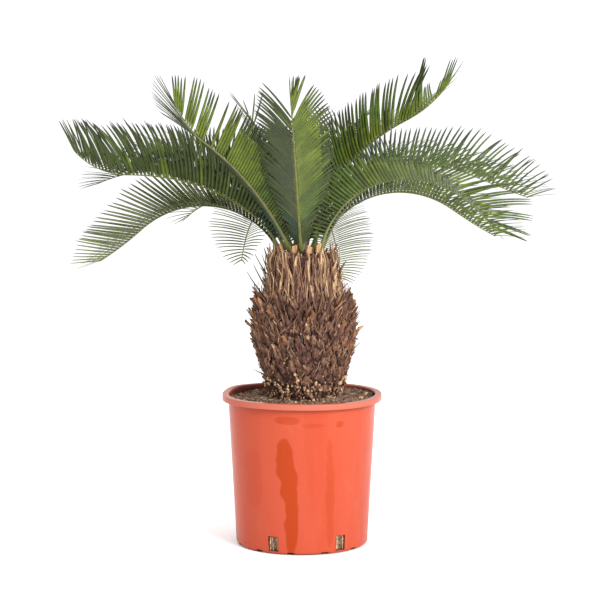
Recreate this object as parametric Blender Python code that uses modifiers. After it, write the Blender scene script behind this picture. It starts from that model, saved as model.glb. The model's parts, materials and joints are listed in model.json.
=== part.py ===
"""A potted sago palm: a turned plastic pot, the compost in it, a scaly trunk and its crown of feather fronds.

Metres, +Z up. The pot stands on z = 0 around the origin and the viewer stands at -Y.
Azimuths are seen from above: 0 points along +X, 90 along +Y, 270 at the viewer.
"""

import math
import random
from collections import namedtuple

import bmesh
import bpy
from mathutils import Vector
from mathutils.bvhtree import BVHTree

GAP = 0.0003  # left between neighbouring pieces

# Pot
POT_HEIGHT = 0.306
RIM_RADIUS = 0.1615
LIP_DROP = 0.012  # how far the rolled lip hangs outside the body
LIP_WALL = 0.0028
LIP_ROUND = 0.0018
LIP_HEM = 0.0010
LIP_ROOF = 0.0032  # plastic over the hollow of the lip
BODY_TOP_RADIUS = 0.1490
BODY_FOOT_RADIUS = 0.1335
BODY_FOOT_Z = 0.016  # the body turns in to its base below this
TURN_IN_Z = 0.006
TURN_IN_LOW_Z = 0.0012
TURN_IN_LOW = 0.0048
BASE_RADIUS = 0.1260
WALL = 0.0026
FLOOR = 0.004
INSIDE_FOOT_Z = 0.020
INSIDE_TURN_Z = 0.010
POT_STEPS = 44
SLOT_COUNT = 6
SLOT_FIRST_AZIMUTH = 245.0
SLOT_WIDTH = 0.021
SLOT_LOW_Z = 0.006
SLOT_TOP_Z = 0.036
SLOT_CUTTER = 0.016  # thickness of the cutter, more than the wall
NOTCH_COUNT = 12
NOTCH_WIDTH = 0.016
NOTCH_HEIGHT = 0.005
NOTCH_DEPTH = 0.006
NOTCH_OUTSIDE = 0.008

# Compost
COMPOST_EDGE_Z = 0.293
COMPOST_MOUND_Z = 0.2995
COMPOST_MOUND_RADIUS = 0.084
COMPOST_RINGS = 4
COMPOST_ROUGHNESS = 0.0022
COMPOST_LIP = 0.002  # a smooth border by the trunk and by the pot's wall
SEAT_CUTTER = 0.05

# Trunk
TRUNK_FOOT_Z = 0.281
TRUNK_FOOT_RADIUS = 0.0705
TRUNK_FOOT_X = 0.006
TRUNK_TOP_X = 0.001
TRUNK_BARK_Z = 0.3025
TRUNK_TOP_Z = 0.592
TRUNK_GIRTHS = (
    (0.3025, 0.0730),
    (0.3340, 0.0840),
    (0.3740, 0.0940),
    (0.4140, 0.1030),
    (0.4500, 0.0995),
    (0.4900, 0.0915),
    (0.5120, 0.0770),
    (0.5520, 0.0700),
    (0.5800, 0.0690),
    (0.5920, 0.0620),
)
TRUNK_TOP_EDGE = 0.004  # drop and inset of the trunk's top rim
TRUNK_FOOT_EDGE = 0.003
SCALE_COLUMNS = 24
BELLY_RINGS = 20  # the scales stand at every second ring and are set between those of the next
NECK_RINGS = 4
SCALE_RELIEF = 0.0085
SCALE_LEAST = 0.55  # relief of the flattest scale, as a share of the highest
SCALE_SUNK = 0.35  # share of the relief that lies inside the trunk's girth
SCALE_LIFT = 0.0045  # how far a scale's point is drawn upwards
FOOT_RELIEF = 0.3
NECK_Z = 0.500
FIBRE_RELIEF = 0.006
FIBRE_TIPS = 0.007
ON_RING = 0.001  # how near a height is to a ring to be on it

# Cut stubs of old stalks, round the top of the trunk
STUB_WIDTH = 0.011
STUB_DEPTH = 0.007
STUB_RING = 0.0525
STUB_LEAN = 8.0
STUB_TAPER = 0.22
STUB_SLANT = 0.10  # one side of the cut is higher than the other by this share
STUBS = (
    ("cut_stub_front", 251.0, 0.017),
    ("cut_stub_front_right", 286.0, 0.016),
    ("cut_stub_right", 309.0, 0.020),
    ("cut_stub_left", 214.0, 0.018),
    ("cut_stub_back", 98.0, 0.018),
)

# Crown bud
BUD_RADIUS = 0.0110
BUD_TIP_RADIUS = 0.00275
BUD_HEIGHT = 0.060
BUD_SIDES = 12

# Fronds
PATH_STEPS = 120
CURL_FROM = 0.75
STALK_SECTIONS = 3
LEAFLET_PAIRS = 30
BARE_SHARE = 0.13  # share of a frond's length that is stalk without leaflets
STALK_WIDTH = 0.0100
RIB_WIDTH = 0.0060
RIB_TIP_WIDTH = 0.0026
STALK_DEPTH = 0.0080
RIB_DEPTH = 0.0034
RIB_TIP_DEPTH = 0.0020
LEAFLET_TIP_DEPTH = 0.0015
LEAFLET_TIP_WIDTH = 0.0016
LEAFLET_DROOP = 0.16
LEAFLET_SWEEP = 0.06

# Leaflet length as a share of the longest: it rises from the stalk, stays, and falls to the tip.
LOWEST_LEAFLET = 0.35
RISE_SHARE = 0.25
RISE_POWER = 0.8
FALL_FROM = 0.70
FALL_BY = 0.70
FALL_POWER = 1.9

# Angle between leaflet and rib: wider by the stalk, and closing in towards the tip.
FORWARD_ANGLE = 58.0
STALK_ANGLE = 15.0
STALK_ANGLE_SHARE = 0.4
TIP_ANGLE = 38.0
TIP_ANGLE_FROM = 0.65
TIP_ANGLE_POWER = 1.8

# A leaflet that would touch something is tried shorter, and is left out if that doesn't help.
LEAFLET_TRIALS = (1.0, 0.8, 0.6, 0.42)
CLEARANCE = 0.0008
ROOT_SHARE = 0.12  # neighbours on one rib may touch this near to it
NEIGHBOURS = 9
WELD = 0.00002

Frond = namedtuple(
    "Frond",
    "name azimuth ring length launch arrive bend curl sweep roll opening leaflet",
    defaults=(1.0, 0.0, 0.0, 0.0, 38.0, 0.130),
)

# Each frond leaves the trunk at its launch angle above level and turns evenly to its arrive angle.
# bend delays that turn, curl lifts the last quarter, sweep turns it sideways and roll twists its blade.
FRONDS = (
    Frond("frond_front", 267, 0.033, 0.481, 42, 40, opening=36, leaflet=0.116),
    Frond("frond_left_high", 234, 0.036, 0.485, 56, 18, bend=0.82, curl=40, roll=8, leaflet=0.118),
    Frond("frond_right_high", 341, 0.030, 0.455, 101, 12, bend=0.62, curl=42, roll=-14, leaflet=0.118),
    Frond("frond_left_mid", 193, 0.045, 0.485, 79, -12, bend=0.52, curl=62, opening=54, leaflet=0.142),
    Frond("frond_right_mid", 328, 0.044, 0.490, 82, -51, bend=0.83, sweep=-1),
    Frond("frond_left_low", 170, 0.047, 0.440, 65, -72, bend=0.87, curl=40),
    Frond("frond_right_far", 9, 0.040, 0.512, 69, -60, bend=1.15, curl=40, leaflet=0.137),
    Frond("frond_right_low", 27, 0.044, 0.488, 84, -56, bend=0.65, curl=30, sweep=2),
    Frond("frond_left_far", 180, 0.027, 0.445, 58, -25, bend=1.15, leaflet=0.120),
    Frond("frond_back_left_hanging", 115, 0.045, 0.375, 47, -78, bend=1.15, curl=15, sweep=-8, leaflet=0.096),
    Frond("frond_back_right_hanging", 79, 0.046, 0.490, 50, -64, bend=0.75, curl=15, leaflet=0.100),
    Frond("frond_back_left_low", 136, 0.046, 0.344, 58, -35, bend=0.9, sweep=-4, leaflet=0.105),
    Frond("frond_back_right", 48, 0.030, 0.450, 68, -26, bend=0.9),
    Frond("frond_back_left", 148, 0.030, 0.440, 70, -20, bend=0.95),
    Frond("frond_back_mid", 98, 0.033, 0.460, 70, -22, bend=0.9),
    Frond("frond_back_high", 66, 0.018, 0.350, 80, 12, leaflet=0.115),
    Frond("frond_back_left_high", 127, 0.018, 0.330, 80, 36, leaflet=0.112),
)

TERRACOTTA = (0.72, 0.13, 0.06)
DARK_EARTH = (0.055, 0.040, 0.030)
BARK_BROWN = (0.14, 0.085, 0.050)
CUT_TAN = (0.47, 0.31, 0.17)
BUD_TAN = (0.30, 0.21, 0.10)
LEAF_GREEN = (0.11, 0.17, 0.035)


def clear_scene():
    for thing in list(bpy.data.objects):
        bpy.data.objects.remove(thing)


def material(name, colour, roughness):
    made = bpy.data.materials.new(name)
    made.use_nodes = True
    shader = made.node_tree.nodes["Principled BSDF"]
    shader.inputs["Base Color"].default_value = (*colour, 1.0)
    shader.inputs["Roughness"].default_value = roughness
    made.diffuse_color = (*colour, 1.0)
    return made


def object_of(name, mesh, collection, surface=None, smooth=False):
    thing = bpy.data.objects.new(name, mesh)
    collection.objects.link(thing)
    if surface:
        mesh.materials.append(surface)
    for face in mesh.polygons:
        face.use_smooth = smooth
    return thing


def mesh_of(name, form):
    mesh = bpy.data.meshes.new(name)
    form.to_mesh(mesh)
    form.free()
    return mesh


def turned(name, profile, steps, collection, surface):
    """Screws a closed profile of (radius, height) points once round the Z axis."""
    mesh = bpy.data.meshes.new(name)
    points = [(radius, 0.0, height) for radius, height in profile]
    sides = [(i, (i + 1) % len(points)) for i in range(len(points))]
    on_axis = [side for side in sides if points[side[0]][0] == 0.0 and points[side[1]][0] == 0.0]
    mesh.from_pydata(points, [side for side in sides if side not in on_axis], [])
    thing = object_of(name, mesh, collection, surface)
    screw = thing.modifiers.new("turn", "SCREW")
    screw.axis = "Z"
    screw.angle = math.tau
    screw.steps = steps
    screw.render_steps = steps
    screw.use_merge_vertices = True
    screw.merge_threshold = 0.0001
    screw.use_smooth_shade = True
    return thing


def boxes(name, count, first_azimuth, radius, size, height, collection):
    """A ring of upright boxes, used as a cutter."""
    form = bmesh.new()
    for i in range(count):
        turn = math.radians(first_azimuth + 360.0 * i / count)
        made = bmesh.ops.create_cube(form, size=1.0)["verts"]
        bmesh.ops.scale(form, vec=size, verts=made)
        bmesh.ops.translate(form, vec=(radius, 0.0, height), verts=made)
        for corner in made:
            x, y = corner.co.x, corner.co.y
            corner.co.x = x * math.cos(turn) - y * math.sin(turn)
            corner.co.y = x * math.sin(turn) + y * math.cos(turn)
    thing = object_of(name, mesh_of(name, form), collection)
    thing.hide_render = True
    thing.display_type = "WIRE"
    return thing


def cut(thing, cutter):
    boolean = thing.modifiers.new(cutter.name, "BOOLEAN")
    boolean.operation = "DIFFERENCE"
    boolean.solver = "EXACT"
    boolean.object = cutter


def body_radius(z):
    share = (z - BODY_FOOT_Z) / (POT_HEIGHT - LIP_DROP - BODY_FOOT_Z)
    return BODY_FOOT_RADIUS + (BODY_TOP_RADIUS - BODY_FOOT_RADIUS) * share


def pot_profile():
    """Down the outside from the lip, across the flat base, then up the inside."""
    lip_low = POT_HEIGHT - LIP_DROP
    groove = RIM_RADIUS - LIP_WALL
    roof = POT_HEIGHT - LIP_ROOF
    inside_top = BODY_TOP_RADIUS - WALL
    return [
        (RIM_RADIUS - LIP_ROUND, POT_HEIGHT),
        (RIM_RADIUS, POT_HEIGHT - LIP_ROUND),
        (RIM_RADIUS, lip_low + LIP_HEM),
        (RIM_RADIUS - LIP_HEM, lip_low),
        (groove, lip_low),
        (groove, roof - LIP_HEM),
        (groove - LIP_ROUND, roof),
        (BODY_TOP_RADIUS + LIP_ROUND + LIP_HEM, roof),
        (BODY_TOP_RADIUS + LIP_HEM, roof - LIP_ROUND),
        (BODY_TOP_RADIUS, lip_low),
        (BODY_FOOT_RADIUS, BODY_FOOT_Z),
        (BODY_FOOT_RADIUS - LIP_ROUND, TURN_IN_Z),
        (BODY_FOOT_RADIUS - TURN_IN_LOW, TURN_IN_LOW_Z),
        (BASE_RADIUS, 0.0),
        (0.0, 0.0),
        (0.0, FLOOR),
        (BASE_RADIUS, FLOOR),
        (BODY_FOOT_RADIUS - WALL - LIP_HEM, INSIDE_TURN_Z),
        (body_radius(INSIDE_FOOT_Z) - WALL, INSIDE_FOOT_Z),
        (inside_top, lip_low),
        (inside_top + LIP_HEM, POT_HEIGHT - LIP_ROUND),
        (inside_top + LIP_HEM + LIP_ROUND, POT_HEIGHT),
    ]


def make_pot(collection, cutters):
    surface = material("terracotta plastic", TERRACOTTA, 0.28)
    pot = turned("pot", pot_profile(), POT_STEPS, collection, surface)
    slot_height = SLOT_TOP_Z - SLOT_LOW_Z
    slots = boxes(
        "slot_cutters",
        SLOT_COUNT,
        SLOT_FIRST_AZIMUTH,
        BODY_FOOT_RADIUS,
        (SLOT_CUTTER, SLOT_WIDTH, slot_height),
        SLOT_LOW_Z + slot_height / 2,
        cutters,
    )
    cut(pot, slots)
    notches = boxes(
        "notch_cutters",
        NOTCH_COUNT,
        SLOT_FIRST_AZIMUTH + 180.0 / NOTCH_COUNT,
        BODY_FOOT_RADIUS + (NOTCH_OUTSIDE - NOTCH_DEPTH) / 2,
        (NOTCH_DEPTH + NOTCH_OUTSIDE, NOTCH_WIDTH, 2 * NOTCH_HEIGHT),
        0.0,
        cutters,
    )
    cut(pot, notches)


def make_compost(collection, cutters):
    """The root ball: it fills the pot, rises a little to the trunk and has a seat for the trunk's foot."""
    edge = body_radius(COMPOST_EDGE_Z) - WALL - GAP
    profile = [(0.0, COMPOST_MOUND_Z)]
    for i in range(COMPOST_RINGS + 1):
        share = i / COMPOST_RINGS
        reach = COMPOST_MOUND_RADIUS + (edge - COMPOST_MOUND_RADIUS) * share
        fall = 0.5 - 0.5 * math.cos(math.pi * share)
        profile.append((reach, COMPOST_MOUND_Z + (COMPOST_EDGE_Z - COMPOST_MOUND_Z) * fall))
    profile += [
        (body_radius(INSIDE_FOOT_Z) - WALL - GAP, INSIDE_FOOT_Z + GAP),
        (BODY_FOOT_RADIUS - WALL - LIP_HEM - GAP, INSIDE_TURN_Z + GAP),
        (BASE_RADIUS - GAP, FLOOR + GAP),
        (0.0, FLOOR + GAP),
    ]
    surface = material("dark compost", DARK_EARTH, 0.95)
    compost = turned("compost", profile, POT_STEPS, collection, surface)
    applied(compost)
    chance = random.Random(7)
    for point in compost.data.vertices:
        reach = math.hypot(point.co.x, point.co.y)
        if point.co.z > COMPOST_EDGE_Z and COMPOST_MOUND_RADIUS + COMPOST_LIP < reach < edge - COMPOST_LIP:
            point.co.z += COMPOST_ROUGHNESS * (chance.random() - 0.5)
    form = bmesh.new()
    reach = TRUNK_FOOT_RADIUS + GAP
    bmesh.ops.create_cone(
        form, cap_ends=True, segments=2 * SCALE_COLUMNS, radius1=reach, radius2=reach, depth=SEAT_CUTTER
    )
    bmesh.ops.translate(form, vec=(TRUNK_FOOT_X, 0.0, TRUNK_FOOT_Z - GAP + SEAT_CUTTER / 2), verts=form.verts)
    seat = object_of("seat_cutter", mesh_of("seat_cutter", form), cutters)
    seat.hide_render = True
    seat.display_type = "WIRE"
    cut(compost, seat)


def applied(thing):
    """Bakes an object's modifiers into its mesh."""
    bpy.context.view_layer.update()
    graph = bpy.context.evaluated_depsgraph_get()
    baked = bpy.data.meshes.new_from_object(thing.evaluated_get(graph))
    thing.modifiers.clear()
    thing.data = baked


def trunk_radius(z):
    for (low, a), (high, b) in zip(TRUNK_GIRTHS, TRUNK_GIRTHS[1:]):
        if z <= high:
            share = max(0.0, (z - low) / (high - low))
            smooth = share * share * (3 - 2 * share)
            return a + (b - a) * (0.5 * share + 0.5 * smooth)
    return TRUNK_GIRTHS[-1][1]


def trunk_rings():
    """Heights of the bark's rings: close together on the scaly belly, wider apart on the fibrous neck."""
    belly = [TRUNK_BARK_Z + (NECK_Z - TRUNK_BARK_Z) * i / BELLY_RINGS for i in range(BELLY_RINGS + 1)]
    top = TRUNK_TOP_Z - TRUNK_TOP_EDGE
    neck = [NECK_Z + (top - NECK_Z) * i / NECK_RINGS for i in range(1, NECK_RINGS + 1)]
    return belly + neck


def bark_step(ring, rings, column, z, chance):
    """How far a point of the bark is pushed out and up: scales in a checkerboard, or upright fibres."""
    if z < NECK_Z + ON_RING:
        if (ring + column) % 2:
            return 0.0, 0.0
        step = SCALE_RELIEF * (SCALE_LEAST + (1.0 - SCALE_LEAST) * chance.random())
        if ring == 0:
            return FOOT_RELIEF * step, 0.0
        return step, SCALE_LIFT if z < NECK_Z - ON_RING else 0.0
    if column % 2:
        return 0.0, 0.0
    step = FIBRE_RELIEF * chance.random()
    return step, FIBRE_TIPS * chance.random() if ring == len(rings) - 1 else 0.0


def make_trunk(collection):
    rings = trunk_rings()
    profile = [(0.0, TRUNK_TOP_Z), (TRUNK_GIRTHS[-1][1] - TRUNK_TOP_EDGE, TRUNK_TOP_Z)]
    profile += [(trunk_radius(z), z) for z in reversed(rings)]
    profile.append((TRUNK_FOOT_RADIUS, TRUNK_BARK_Z - TRUNK_FOOT_EDGE))
    profile += [(TRUNK_FOOT_RADIUS, TRUNK_FOOT_Z), (0.0, TRUNK_FOOT_Z)]
    columns = 2 * SCALE_COLUMNS
    trunk = turned("trunk", profile, columns, collection, material("scaly bark", BARK_BROWN, 0.9))
    applied(trunk)
    chance = random.Random(3)
    for point in trunk.data.vertices:
        x, y, z = point.co
        share = min(1.0, max(0.0, (z - TRUNK_FOOT_Z) / (TRUNK_TOP_Z - TRUNK_FOOT_Z)))
        if TRUNK_BARK_Z - ON_RING < z < TRUNK_TOP_Z - ON_RING:
            ring = min(range(len(rings)), key=lambda i: abs(rings[i] - z))
            column = round(math.atan2(y, x) / math.tau * columns)
            step, lift = bark_step(ring, rings, column, z, chance)
            reach = math.hypot(x, y)
            grown = (reach - SCALE_SUNK * SCALE_RELIEF + step) / reach
            point.co = (x * grown, y * grown, z + lift)
        point.co.x += TRUNK_FOOT_X + (TRUNK_TOP_X - TRUNK_FOOT_X) * share
    form = bmesh.new()
    form.from_mesh(trunk.data)
    bmesh.ops.triangulate(form, faces=form.faces, quad_method="SHORT_EDGE")
    form.to_mesh(trunk.data)
    form.free()


def make_stubs(collection):
    """Stalks cut off short, each a slightly tapered block standing on the trunk's top."""
    surface = material("cut stalk", CUT_TAN, 0.8)
    for name, azimuth, height in STUBS:
        turn = math.radians(azimuth)
        out = Vector((math.cos(turn), math.sin(turn), 0.0))
        side = Vector((-out.y, out.x, 0.0))
        form = bmesh.new()
        bmesh.ops.create_cube(form, size=1.0)
        for corner in form.verts:
            up = corner.co.z + 0.5
            taper = 1.0 - STUB_TAPER * up
            lean = math.tan(math.radians(STUB_LEAN)) * height * up
            place = out * (STUB_RING - STUB_DEPTH / 2 + corner.co.x * STUB_DEPTH * taper + lean)
            place += side * corner.co.y * STUB_WIDTH * taper
            place.z = TRUNK_TOP_Z + GAP + height * up * (1.0 + STUB_SLANT * corner.co.y)
            corner.co = place
        object_of(name, mesh_of(name, form), collection, surface)


def make_bud(collection):
    """The woolly growing point in the middle of the crown."""
    form = bmesh.new()
    bmesh.ops.create_cone(
        form, cap_ends=True, segments=BUD_SIDES, radius1=BUD_RADIUS, radius2=BUD_TIP_RADIUS, depth=BUD_HEIGHT
    )
    bmesh.ops.translate(form, vec=(0.0, 0.0, TRUNK_TOP_Z + GAP + BUD_HEIGHT / 2), verts=form.verts)
    object_of("crown_bud", mesh_of("crown_bud", form), collection, material("bud wool", BUD_TAN, 0.9), True)


def stations():
    """Shares of a frond's length where its rib has a section: on the bare stalk, then between leaflets."""
    bare = [BARE_SHARE * i / STALK_SECTIONS for i in range(STALK_SECTIONS)]
    leafy = [BARE_SHARE + (1 - BARE_SHARE) * i / LEAFLET_PAIRS for i in range(LEAFLET_PAIRS + 1)]
    return bare + leafy


def rib_path(frond):
    """Points along the rib, found by walking it in short steps while its angle above level turns."""
    turn = math.radians(frond.azimuth)
    place = Vector((frond.ring * math.cos(turn), frond.ring * math.sin(turn), TRUNK_TOP_Z + GAP))
    path = [place.copy()]
    for i in range(PATH_STEPS):
        share = (i + 0.5) / PATH_STEPS
        level = frond.launch + (frond.arrive - frond.launch) * share**frond.bend
        level = math.radians(level + frond.curl * max(0.0, share - CURL_FROM) / (1 - CURL_FROM))
        turn = math.radians(frond.azimuth + frond.sweep * share)
        ahead = Vector((math.cos(level) * math.cos(turn), math.cos(level) * math.sin(turn), math.sin(level)))
        place = place + ahead * frond.length / PATH_STEPS
        path.append(place.copy())
    return path


def rib_frames(frond):
    """For each station its point, and the directions along the rib, to its left and out of its upper face."""
    path = rib_path(frond)
    frames = []
    for share in stations():
        spot = share * PATH_STEPS
        i = min(int(spot), PATH_STEPS - 1)
        place = path[i].lerp(path[i + 1], spot - i)
        along = (path[min(i + 2, PATH_STEPS)] - path[max(i - 1, 0)]).normalized()
        turn = math.radians(frond.azimuth + frond.sweep * share)
        left = Vector((-math.sin(turn), math.cos(turn), 0.0))
        left = (left - along * left.dot(along)).normalized()
        up = along.cross(left)
        roll = math.radians(frond.roll)
        rolled_left = left * math.cos(roll) + up * math.sin(roll)
        rolled_up = up * math.cos(roll) - left * math.sin(roll)
        frames.append((place, along, rolled_left, rolled_up))
    return frames


def blend(share, base, middle, tip):
    """From base to middle over the stalk, then on to tip."""
    if share < BARE_SHARE:
        return base + (middle - base) * share / BARE_SHARE
    return middle + (tip - middle) * (share - BARE_SHARE) / (1 - BARE_SHARE)


def rib_section(share, frame):
    """The four corners of the rib there. The stalk's foot is cut level, to stand flat on the trunk."""
    place, along, left, up = frame
    wide = blend(share, STALK_WIDTH, RIB_WIDTH, RIB_TIP_WIDTH) / 2
    deep = blend(share, STALK_DEPTH, RIB_DEPTH, RIB_TIP_DEPTH) / 2
    corners = [place + left * wide * a + up * deep * b for a, b in ((1, 1), (-1, 1), (-1, -1), (1, -1))]
    if share == 0.0:
        corners = [corner - along * (corner.z - place.z) / along.z for corner in corners]
    return corners


def leaflet_length(frond, share):
    """Short by the stalk, full along the middle and short again at the tip."""
    along = (share - BARE_SHARE) / (1 - BARE_SHARE)
    rise = LOWEST_LEAFLET + (1 - LOWEST_LEAFLET) * min(1.0, along / RISE_SHARE) ** RISE_POWER
    fall = 1.0 - FALL_BY * max(0.0, (along - FALL_FROM) / (1 - FALL_FROM)) ** FALL_POWER
    return frond.leaflet * rise * fall


def leaflet_tip(frond, share, frame, side, reach):
    """Where the middle of the tip comes: forward, outward and up from the rib, less the leaflet's droop."""
    place, along, left, up = frame
    forward = FORWARD_ANGLE + STALK_ANGLE * max(0.0, 1.0 - share / STALK_ANGLE_SHARE)
    near_tip = max(0.0, (share - TIP_ANGLE_FROM) / (1 - TIP_ANGLE_FROM))
    forward = math.radians(forward - TIP_ANGLE * near_tip**TIP_ANGLE_POWER)
    lift = math.radians(frond.opening)
    ahead = along * math.cos(forward)
    ahead += (left * side * math.cos(lift) + up * math.sin(lift)) * math.sin(forward)
    sag = LEAFLET_DROOP * (1.0 - ahead.z**2)
    return place + (ahead + along * LEAFLET_SWEEP - Vector((0.0, 0.0, sag))) * reach


def prism(points):
    """A tree for touching tests round the wedge of eight points: four at the rib and four at the tip."""
    sides = ((0, 1, 2, 3), (7, 6, 5, 4), (0, 4, 5, 1), (1, 5, 6, 2), (2, 6, 7, 3), (3, 7, 4, 0))
    return BVHTree.FromPolygons(points, sides)


def rib_tree(sections):
    """A tree round a rib, a little thicker than the rib itself."""
    points = []
    for corners in sections:
        middle = sum(corners, Vector()) / 4
        points += [corner + (corner - middle).normalized() * CLEARANCE for corner in corners]
    sides = []
    for i in range(0, len(points) - 4, 4):
        sides += [(i + a, i + (a + 1) % 4, i + 4 + (a + 1) % 4, i + 4 + a) for a in range(4)]
    return BVHTree.FromPolygons(points, sides)


def leaflet_wedge(base, tip, along, up, near, grown):
    """The eight corners of a leaflet from the share near of its way out, grown by a clearance all round."""
    top_back, top_front, low_front, low_back = base
    half_wide = along * LEAFLET_TIP_WIDTH / 2
    half_deep = up * LEAFLET_TIP_DEPTH / 2
    ends = [tip - half_wide + half_deep, tip + half_wide + half_deep]
    ends += [tip + half_wide - half_deep, tip - half_wide - half_deep]
    starts = [a.lerp(b, near) for a, b in zip((top_back, top_front, low_front, low_back), ends)]
    shifts = (up - along, up + along, along - up, -up - along)
    points = [p + shift * grown for p, shift in zip(starts, shifts)]
    return points + [p + shift * grown for p, shift in zip(ends, shifts)]


def plan_leaflets(frond, frames, sections, others):
    """The tips of the leaflets that have room, by rib section and side, and the wedges that they fill."""
    shares = stations()
    grown = []
    own = []
    tips = {}
    for k in range(LEAFLET_PAIRS):
        first = STALK_SECTIONS + k
        share = (shares[first] + shares[first + 1]) / 2
        ahead, behind = frames[first], frames[first + 1]
        frame = tuple((a + b) / 2 for a, b in zip(ahead, behind))
        for side in (1, -1):
            a, b = (0, 3) if side > 0 else (1, 2)
            base = (sections[first][a], sections[first + 1][a], sections[first + 1][b], sections[first][b])
            for part in LEAFLET_TRIALS:
                reach = leaflet_length(frond, share) * part
                tip = leaflet_tip(frond, share, frame, side, reach)
                wedge = prism(leaflet_wedge(base, tip, frame[1], frame[3], 0.0, CLEARANCE))
                if any(wedge.overlap(tree) for tree in others):
                    continue
                outer = prism(leaflet_wedge(base, tip, frame[1], frame[3], ROOT_SHARE, 0.0))
                if any(outer.overlap(tree) for n, s, tree in own if s == side and k - n < NEIGHBOURS):
                    continue
                tips[first, side] = tip
                grown.append(wedge)
                own.append((k, side, outer))
                break
    return tips, grown


def grow_frond(frond, frames, sections, tips, collection, surface):
    """Extrudes the rib section by section, then a leaflet out of each side face that has one."""
    form = bmesh.new()
    start = [form.verts.new(corner) for corner in reversed(sections[0])]
    face = form.faces.new(start)
    sides = {}
    for i, corners in enumerate(sections[1:]):
        face = bmesh.ops.extrude_discrete_faces(form, faces=[face])["faces"][0]
        before = sections[i]
        for vert in face.verts:
            nearest = min(range(4), key=lambda c: (vert.co - before[c]).length)
            vert.co = corners[nearest]
        for edge in face.edges:
            wall = next(f for f in edge.link_faces if f is not face)
            middle = wall.calc_center_median() - (frames[i][0] + frames[i + 1][0]) / 2
            lean = middle.dot(frames[i][2])
            if abs(lean) > abs(middle.dot(frames[i][3])):
                sides[i, 1 if lean > 0 else -1] = wall
    ends = []
    for (i, side), tip in tips.items():
        along, up = frames[i][1], frames[i][3]
        wall = sides[i, side]
        middle = wall.calc_center_median()
        blade = bmesh.ops.extrude_discrete_faces(form, faces=[wall])["faces"][0]
        for vert in blade.verts:
            above = (vert.co - middle).dot(up) > 0
            vert.co = tip + up * LEAFLET_TIP_DEPTH * (0.5 if above else -0.5)
            ends.append(vert)
    bmesh.ops.remove_doubles(form, verts=ends, dist=WELD)
    bmesh.ops.holes_fill(form, edges=[edge for edge in form.edges if edge.is_boundary])
    bmesh.ops.recalc_face_normals(form, faces=form.faces)
    object_of(frond.name, mesh_of(frond.name, form), collection, surface)


def make_fronds(collection):
    surface = material("leaf green", LEAF_GREEN, 0.5)
    plans = []
    for frond in FRONDS:
        frames = rib_frames(frond)
        sections = [rib_section(share, frame) for share, frame in zip(stations(), frames)]
        plans.append((frond, frames, sections, rib_tree(sections)))
    graph = bpy.context.evaluated_depsgraph_get()
    names = ["pot", "trunk", "crown_bud"] + [name for name, _, _ in STUBS]
    solid = [BVHTree.FromObject(bpy.data.objects[name], graph) for name in names]
    grown = []
    for frond, frames, sections, _ in plans:
        ribs = [tree for other, _, _, tree in plans if other is not frond]
        tips, wedges = plan_leaflets(frond, frames, sections, solid + ribs + grown)
        grown += wedges
        grow_frond(frond, frames, sections, tips, collection, surface)


def main():
    clear_scene()
    scene = bpy.context.scene
    cutters = bpy.data.collections.new("cutters")
    scene.collection.children.link(cutters)
    cutters.hide_render = True
    collection = scene.collection
    make_pot(collection, cutters)
    make_compost(collection, cutters)
    make_trunk(collection)
    make_stubs(collection)
    make_bud(collection)
    bpy.context.view_layer.update()
    make_fronds(collection)


main()
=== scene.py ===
import json
import math
import random
from collections import namedtuple

import bpy
import numpy as np
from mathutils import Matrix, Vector, noise
from mathutils.bvhtree import BVHTree

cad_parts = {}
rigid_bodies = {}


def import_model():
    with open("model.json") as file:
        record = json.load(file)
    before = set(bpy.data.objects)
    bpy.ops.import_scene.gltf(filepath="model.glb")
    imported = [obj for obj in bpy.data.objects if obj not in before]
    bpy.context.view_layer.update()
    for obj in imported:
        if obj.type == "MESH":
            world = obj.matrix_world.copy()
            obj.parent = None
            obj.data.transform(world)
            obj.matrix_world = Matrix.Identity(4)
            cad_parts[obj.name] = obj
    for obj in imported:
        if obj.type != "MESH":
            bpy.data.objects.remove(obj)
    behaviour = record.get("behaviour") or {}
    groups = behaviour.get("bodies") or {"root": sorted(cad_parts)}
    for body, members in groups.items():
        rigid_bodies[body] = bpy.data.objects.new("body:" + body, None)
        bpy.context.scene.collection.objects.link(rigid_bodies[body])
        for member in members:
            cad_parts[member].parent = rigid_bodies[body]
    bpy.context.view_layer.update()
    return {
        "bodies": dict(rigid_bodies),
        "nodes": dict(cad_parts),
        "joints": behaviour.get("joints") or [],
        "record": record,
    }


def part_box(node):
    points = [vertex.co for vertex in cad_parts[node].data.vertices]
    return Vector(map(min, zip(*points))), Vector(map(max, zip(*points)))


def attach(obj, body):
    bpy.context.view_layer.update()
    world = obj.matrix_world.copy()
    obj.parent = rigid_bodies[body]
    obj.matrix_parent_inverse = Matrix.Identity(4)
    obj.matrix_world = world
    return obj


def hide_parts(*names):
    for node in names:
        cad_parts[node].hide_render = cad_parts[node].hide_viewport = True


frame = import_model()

bpy.context.scene.view_settings.view_transform = "Standard"

# The pot. One thin shell of terracotta-coloured plastic, moulded in a single shot. Its lip is rolled out
# and down for grip, its foot turns in, and slots and notches low in the wall let the water out.
pot_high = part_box("pot")[1]
pot_height = pot_high.z
rim_radius = pot_high.x
lip_drop = 0.012
lip_wall = 0.0028
lip_round = 0.0018
lip_roof = 0.0032
wall = 0.0026
floor_thickness = 0.004
body_top_radius = 0.1490
body_foot_radius = 0.1335
body_foot_height = 0.016
turn_in = 0.0048
turn_in_height = 0.0012
base_radius = 0.1260
pot_sides = 192
lip_low = pot_height - lip_drop
slot_count = 6
slot_first_turn = 245.0
slot_size = (0.016, 0.021, 0.030)
slot_middle = 0.021
slot_rounding = 0.0018
notch_count = 12
notch_size = (0.014, 0.016, 0.011)
notch_rounding = 0.0050
gap = 0.0003


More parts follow.
